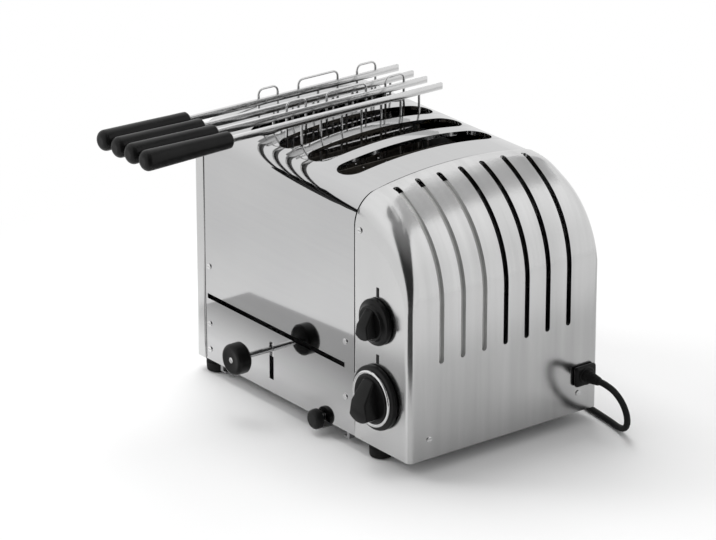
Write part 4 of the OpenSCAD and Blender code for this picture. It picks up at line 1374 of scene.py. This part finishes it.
@dataclass
class MainsCord:
    """Cord with its strain relief, coil and plug."""

    workshop: Workshop
    diameter: float = 5.6 * MM
    coil_in_r: float = 24 * MM
    coil_pitch: float = 7 * MM
    coil_turns: float = 2.75
    coil_climb: float = 0.5
    plug_lead: float = 20 * MM
    run_steps: int = 6
    rings: int = 48
    route: tuple[tuple[float, float, float], ...] = (
        (171, 85, 46), (178, 85, 46), (188.5, 86, 43), (196.5, 88, 35.5), (199.5, 91, 24.5),
        (196.5, 94.5, 13.5), (188.5, 98, 6), (178, 101, 3), (165, 103.5, 2.8), (145, 106.5, 2.8),
        (120, 110, 2.8), (95, 113.5, 2.8), (70, 117, 2.8), (45, 121, 2.8), (20, 125.5, 2.8),
        (0, 128.3, 3.2), (-15, 129, 3.8), (-29.4, 129, 3.8))

    def build(self) -> None:
        run = self.smooth([Vector(point) * MM for point in self.route], self.run_steps)
        start = run[-1]
        middle = start + Vector((-self.diameter, self.coil_in_r + self.coil_pitch * self.coil_turns, 0.0))
        total = 2 * self.coil_turns + self.coil_climb
        coil = [self.coil_point(middle, k / self.rings) for k in range(round(total * self.rings) + 1)]
        end = Vector((middle.x - self.plug_lead, start.y, coil[-1].z))
        points = run + coil + [end]
        length = sum((b - a).length for a, b in zip(points, points[1:]))
        curve = bpy.data.curves.new("mains_cord", "CURVE")
        curve.dimensions = "3D"
        curve.bevel_depth = self.diameter / 2
        curve.bevel_resolution = 4
        curve.use_fill_caps = True
        spline = curve.splines.new("POLY")
        spline.points.add(len(points) - 1)
        for place, point in zip(spline.points, points):
            place.co = (*point, 1.0)
        spline.use_smooth = True
        cord = linked("mains_cord", curve)
        curve.materials.append(self.workshop.finishes.made[Slot.RUBBER])
        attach(cord, Body.HOUSING.value)
        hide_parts("cord_run", "cord_coil")
        fittings = CordFittings(self.workshop, self.diameter / 2).build(end) + [frame["nodes"]["coil_tie"]]
        LOG.info("mains_cord: %.3f m", length)

    def coil_point(self, middle: Vector, turn: float) -> Vector:
        """Point of the coil, which spirals in, climbs a layer and spirals out."""
        away = max(0.0, self.coil_turns - turn, turn - self.coil_turns - self.coil_climb)
        radius = self.coil_in_r + self.coil_pitch * away
        share = min(1.0, max(0.0, (turn - self.coil_turns) / self.coil_climb))
        lift = self.coil_pitch * share * share * (3 - 2 * share)
        angle = -math.pi / 2 - math.tau * turn
        return middle + Vector((radius * math.cos(angle), radius * math.sin(angle), lift))

    @staticmethod
    def smooth(points: list[Vector], steps: int) -> list[Vector]:
        """A smooth curve through points, without its last point's repeat."""
        made = []
        for k in range(len(points) - 1):
            a, b, c, d = (points[min(max(j, 0), len(points) - 1)] for j in range(k - 1, k + 3))
            for step in range(steps):
                f = step / steps
                made.append(0.5 * (2 * b + (c - a) * f + (2 * a - 5 * b + 4 * c - d) * f * f
                                   + (3 * b - a - 3 * c + d) * f ** 3))
        return made + [points[-1]]


def oblong(x: tuple[float, float], y: tuple[float, float], slant: float = 0.0) -> bmesh.types.BMesh:
    """A level face between two places each way.

    Args:
        x: First and last place along X.
        y: First and last place along Y.
        slant: How far the last side runs on beyond its place at the last X.

    Returns:
        The mesh, at height zero.
    """
    mesh = bmesh.new()
    corners = ((x[0], y[0]), (x[1], y[0]), (x[1], y[1] + slant), (x[0], y[1]))
    mesh.faces.new([mesh.verts.new((*corner, 0.0)) for corner in corners])
    return mesh


@dataclass
class Studio:
    """Camera, light and floor, and sheets of painted shade standing for the room, which only polished metal shows.
    """

    camera_place: tuple[float, float, float] = (2.6148, -2.0427, 1.4264)
    azimuth: float = 52.53
    elevation: float = 21.59
    focal_px: float = 4199.0
    image_width: int = 716
    sensor_width: float = 36.0
    far_clip: float = 100.0
    soft_level: float = 0.62
    overhead_heights: tuple[float, float] = (0.1, 0.9)
    overhead_levels: tuple[float, float] = (1.0, 1.22)
    lamp_target: tuple[float, float, float] = (0.0, 0.0, 0.1)
    floor_half: float = 6.0
    floor_height: float = -0.0004
    floor_tones: tuple[float, float] = (0.89, 0.91)
    clear_floor: tuple[float, float] = (0.26, 0.55)
    # Painted shade of the room behind the camera, which only reflections show; darker low down.
    dark_outline: tuple[tuple[float, float, float, float], ...] = (
        (0.36, 0.0, 286.0, 352.0), (4.2, 0.0, 286.0, 352.0), (4.2, 2.8, 284.0, 362.0), (3.4, 5.0, 270.0, 388.0),
        (2.0, 6.6, 255.0, 402.0), (0.7, 7.2, 245.0, 412.0))
    dark_step: float = 0.09
    dark_heights: tuple[float, float] = (-0.5, 9.5)
    room_shade_tones: tuple[float, float] = (0.03, 0.5)
    # Painted shadow of the object on the floor beside the control end, darker near it, which only reflections
    # show.
    end_shadow_x: tuple[float, float] = (0.15, 0.75)
    end_shadow_y: tuple[float, float] = (-0.6, 0.8)
    end_shadow_fade: tuple[float, float] = (0.30, 0.42)
    end_shadow_tones: tuple[float, float] = (0.66, 0.92)
    # Painted shade on the floor in front, darker away from the front, which only reflections show.
    front_shade_x: tuple[float, float] = (-0.26, 0.06)
    front_shade_y: tuple[float, float] = (-0.102, -0.236)
    front_shade_slant: float = -0.03
    front_shade_tones: tuple[float, float] = (1.0, 0.44)
    # Grey sheet overhead whose soft dark band is painted into reflections only.
    shade_band_middle: tuple[float, float, float] = (-0.65, 5.4, 6.0)
    shade_band_half: tuple[float, float] = (6.5, 2.1)
    shade_band_turn: float = 131.0
    shade_band_tone: float = 0.95

    def build(self) -> None:
        """Lights the scene and sets up the floor and the sheets of painted shade that only reflections show."""
        self.light()
        self.floor()
        self.painted_room_shade()
        # Painted shadow on the floor beside the control end, for reflections only.
        end_shadow = self.graded("painted_shadow_beside_end", "X", self.end_shadow_fade, self.end_shadow_tones)
        self.mirrored("painted_shadow_beside_end", oblong(self.end_shadow_x, self.end_shadow_y), end_shadow, 0.001)
        # Painted shade on the floor in front, for reflections only.
        strip = self.graded("painted_shade_before_front", "Y", self.front_shade_y, self.front_shade_tones)
        self.mirrored("painted_shade_before_front", oblong(self.front_shade_x, self.front_shade_y, self.front_shade_slant), strip, 0.0015)
        self.shade_band()

    def camera(self) -> None:
        """Makes the camera at the photograph's angle."""
        data = bpy.data.cameras.new("camera")
        data.sensor_width = self.sensor_width
        data.lens = self.focal_px / self.image_width * self.sensor_width
        data.clip_end = self.far_clip
        made = linked("camera", data)
        made.location = self.camera_place
        a, e = math.radians(self.azimuth), math.radians(self.elevation)
        self.aim(made, -Vector((math.sin(a) * math.cos(e), -math.cos(a) * math.cos(e), math.sin(e))))
        bpy.context.scene.camera = made

    @staticmethod
    def aim(made: bpy.types.Object, direction: Vector) -> None:
        """Turns a camera or a lamp towards a direction."""
        made.rotation_mode = "QUATERNION"
        made.rotation_quaternion = direction.to_track_quat("-Z", "Y")

    def light(self) -> None:
        """Makes a white world, brighter overhead for what is mirrored, and two soft lamps."""
        bpy.context.scene.view_settings.view_transform = "Standard"
        world = bpy.data.worlds.new("studio")
        bpy.context.scene.world = world
        world.use_nodes = True
        nodes = Nodes(world.node_tree)
        background = nodes.tree.nodes["Background"]
        height = nodes.part(nodes.node("ShaderNodeTexCoord", {}, {}, "Generated"), "Z")
        overhead = nodes.eased(height, *self.overhead_heights, *self.overhead_levels)
        levels = {"Factor": nodes.ray("Is Glossy Ray"), "A": self.soft_level, "B": overhead}
        level = nodes.node("ShaderNodeMix", {}, levels, "Result")
        nodes.put(background.inputs["Color"], (1.0, 1.0, 1.0))
        nodes.put(background.inputs["Strength"], nodes.ray("Is Camera Ray").maximum(level))
        self.lamp("overhead", Vector((-0.8, 0.1, 2.0)), 1.5, 28.0)
        self.lamp("left_front", Vector((-1.8, -1.5, 1.6)), 1.0, 20.0)

    def lamp(self, name: str, place: Vector, size: float, watts: float) -> None:
        """Makes one square soft lamp, which polished metal doesn't show."""
        data = bpy.data.lights.new(name, "AREA")
        data.size = size
        data.energy = watts
        made = linked(name, data)
        made.location = place
        self.aim(made, Vector(self.lamp_target) - place)
        made.visible_glossy = False

    def floor(self) -> None:
        """Makes a pale floor that goes over into plain white away from the object."""
        shading = Shading("pale_floor")
        low, high = self.floor_tones
        shading.set(Base_Color=shading.shades(shading.noise(3.0), (low,) * 3, (high,) * 3), Roughness=0.9)
        away = shading.node("ShaderNodeVectorMath", {"operation": "LENGTH"}, {0: shading.place()}, "Value")
        seen = shading.ray("Is Camera Ray") + shading.ray("Is Glossy Ray")
        share = shading.eased(away, *self.clear_floor) * seen
        white = shading.node("ShaderNodeEmission", {}, {"Color": (1.0, 1.0, 1.0), "Strength": 1.0})
        shading.show(shading.node("ShaderNodeMixShader", {}, {0: share, 1: shading.surface(), 2: white}))
        ends = (-self.floor_half, self.floor_half)
        self.staged("floor", oblong(ends, ends), shading.material, self.floor_height)

    def painted_room_shade(self) -> None:
        """Makes a sheet of painted shade for the dark room behind the camera, which reaches up and over and is
        darker low down; only reflections show it.
        """
        mesh = bmesh.new()
        rings = []
        for share in spread(0.0, 1.0, self.dark_step):
            turns = [math.radians(first + share * (last - first)) for _, _, first, last in self.dark_outline]
            rings.append([mesh.verts.new((reach * math.cos(turn), reach * math.sin(turn), height))
                          for turn, (reach, height, _, _) in zip(turns, self.dark_outline)])
        for here, there in zip(rings, rings[1:]):
            for k in range(len(here) - 1):
                mesh.faces.new((here[k], here[k + 1], there[k + 1], there[k]))
        self.mirrored("painted_room_shade", mesh, self.graded("painted_room_shade", "Z", self.dark_heights, self.room_shade_tones), 0.002)

    def shade_band(self) -> None:
        """Makes a grey sheet overhead with soft sides, which paints a soft dark band into reflections on the
        rounded top.
        """
        length, width = self.shade_band_half
        shading = Shading("painted_dark_band")
        across = shading.part(shading.place(), "Y")
        fade = shading.eased(across * across, 0.0, width * width, 1.0, 0.0)
        shading.set(Base_Color=(self.shade_band_tone,) * 3, Roughness=1.0, Alpha=fade)
        x, y, height = self.shade_band_middle
        made = self.mirrored("painted_dark_band", oblong((-length, length), (-width, width)), shading.material, height)
        made.location.xy = (x, y)
        made.rotation_euler.z = math.radians(self.shade_band_turn)

    @staticmethod
    def graded(name: str, axis: str, places: tuple[float, float],
               tones: tuple[float, float]) -> bpy.types.Material:
        """A dull grey whose tone changes between two places along an axis."""
        shading = Shading(name)
        along = shading.part(shading.place(), axis)
        fade = shading.node("ShaderNodeMapRange", {},
                            {"Value": along, "From Min": places[0], "From Max": places[1]})
        shading.set(Base_Color=shading.shades(fade, (tones[0],) * 3, (tones[1],) * 3), Roughness=1.0)
        return shading.material

    def mirrored(self, name: str, mesh: bmesh.types.BMesh, material: bpy.types.Material,
                 height: float) -> bpy.types.Object:
        """Makes a sheet of painted shade that is out of the picture and of the light, and shows only in
        reflections.
        """
        made = self.staged(name, mesh, material, height)
        made.visible_camera = made.visible_diffuse = made.visible_shadow = False
        return made

    @staticmethod
    def staged(name: str, mesh: bmesh.types.BMesh, material: bpy.types.Material,
               height: float) -> bpy.types.Object:
        """Makes a piece of the stage at a height."""
        data = mesh_data(name, mesh)
        data.materials.append(material)
        made = linked(name, data)
        made.location = (0.0, 0.0, height)
        return made


def main() -> None:
    """Builds the scene in order and reports each piece."""
    logging.basicConfig(level=logging.INFO, format="%(name)s: %(message)s")
    studio = Studio()
    studio.camera()
    finishes = Finishes()
    finishes.dress_frame()
    workshop = Workshop(finishes)
    MainsCord(workshop).build()
    studio.build()
    for part in (Casing(workshop), Knob("timer_knob", Body.TIMER, workshop),
                 Knob("selector_knob", Body.SELECTOR, workshop), TimerRing(workshop), LeverKnob(workshop),
                 Cage("near_cage", Body.NEAR_CAGE, workshop), Cage("far_cage", Body.FAR_CAGE, workshop),
                 Footings(workshop)):
        part.build()


if __name__ == "__main__":
    main()
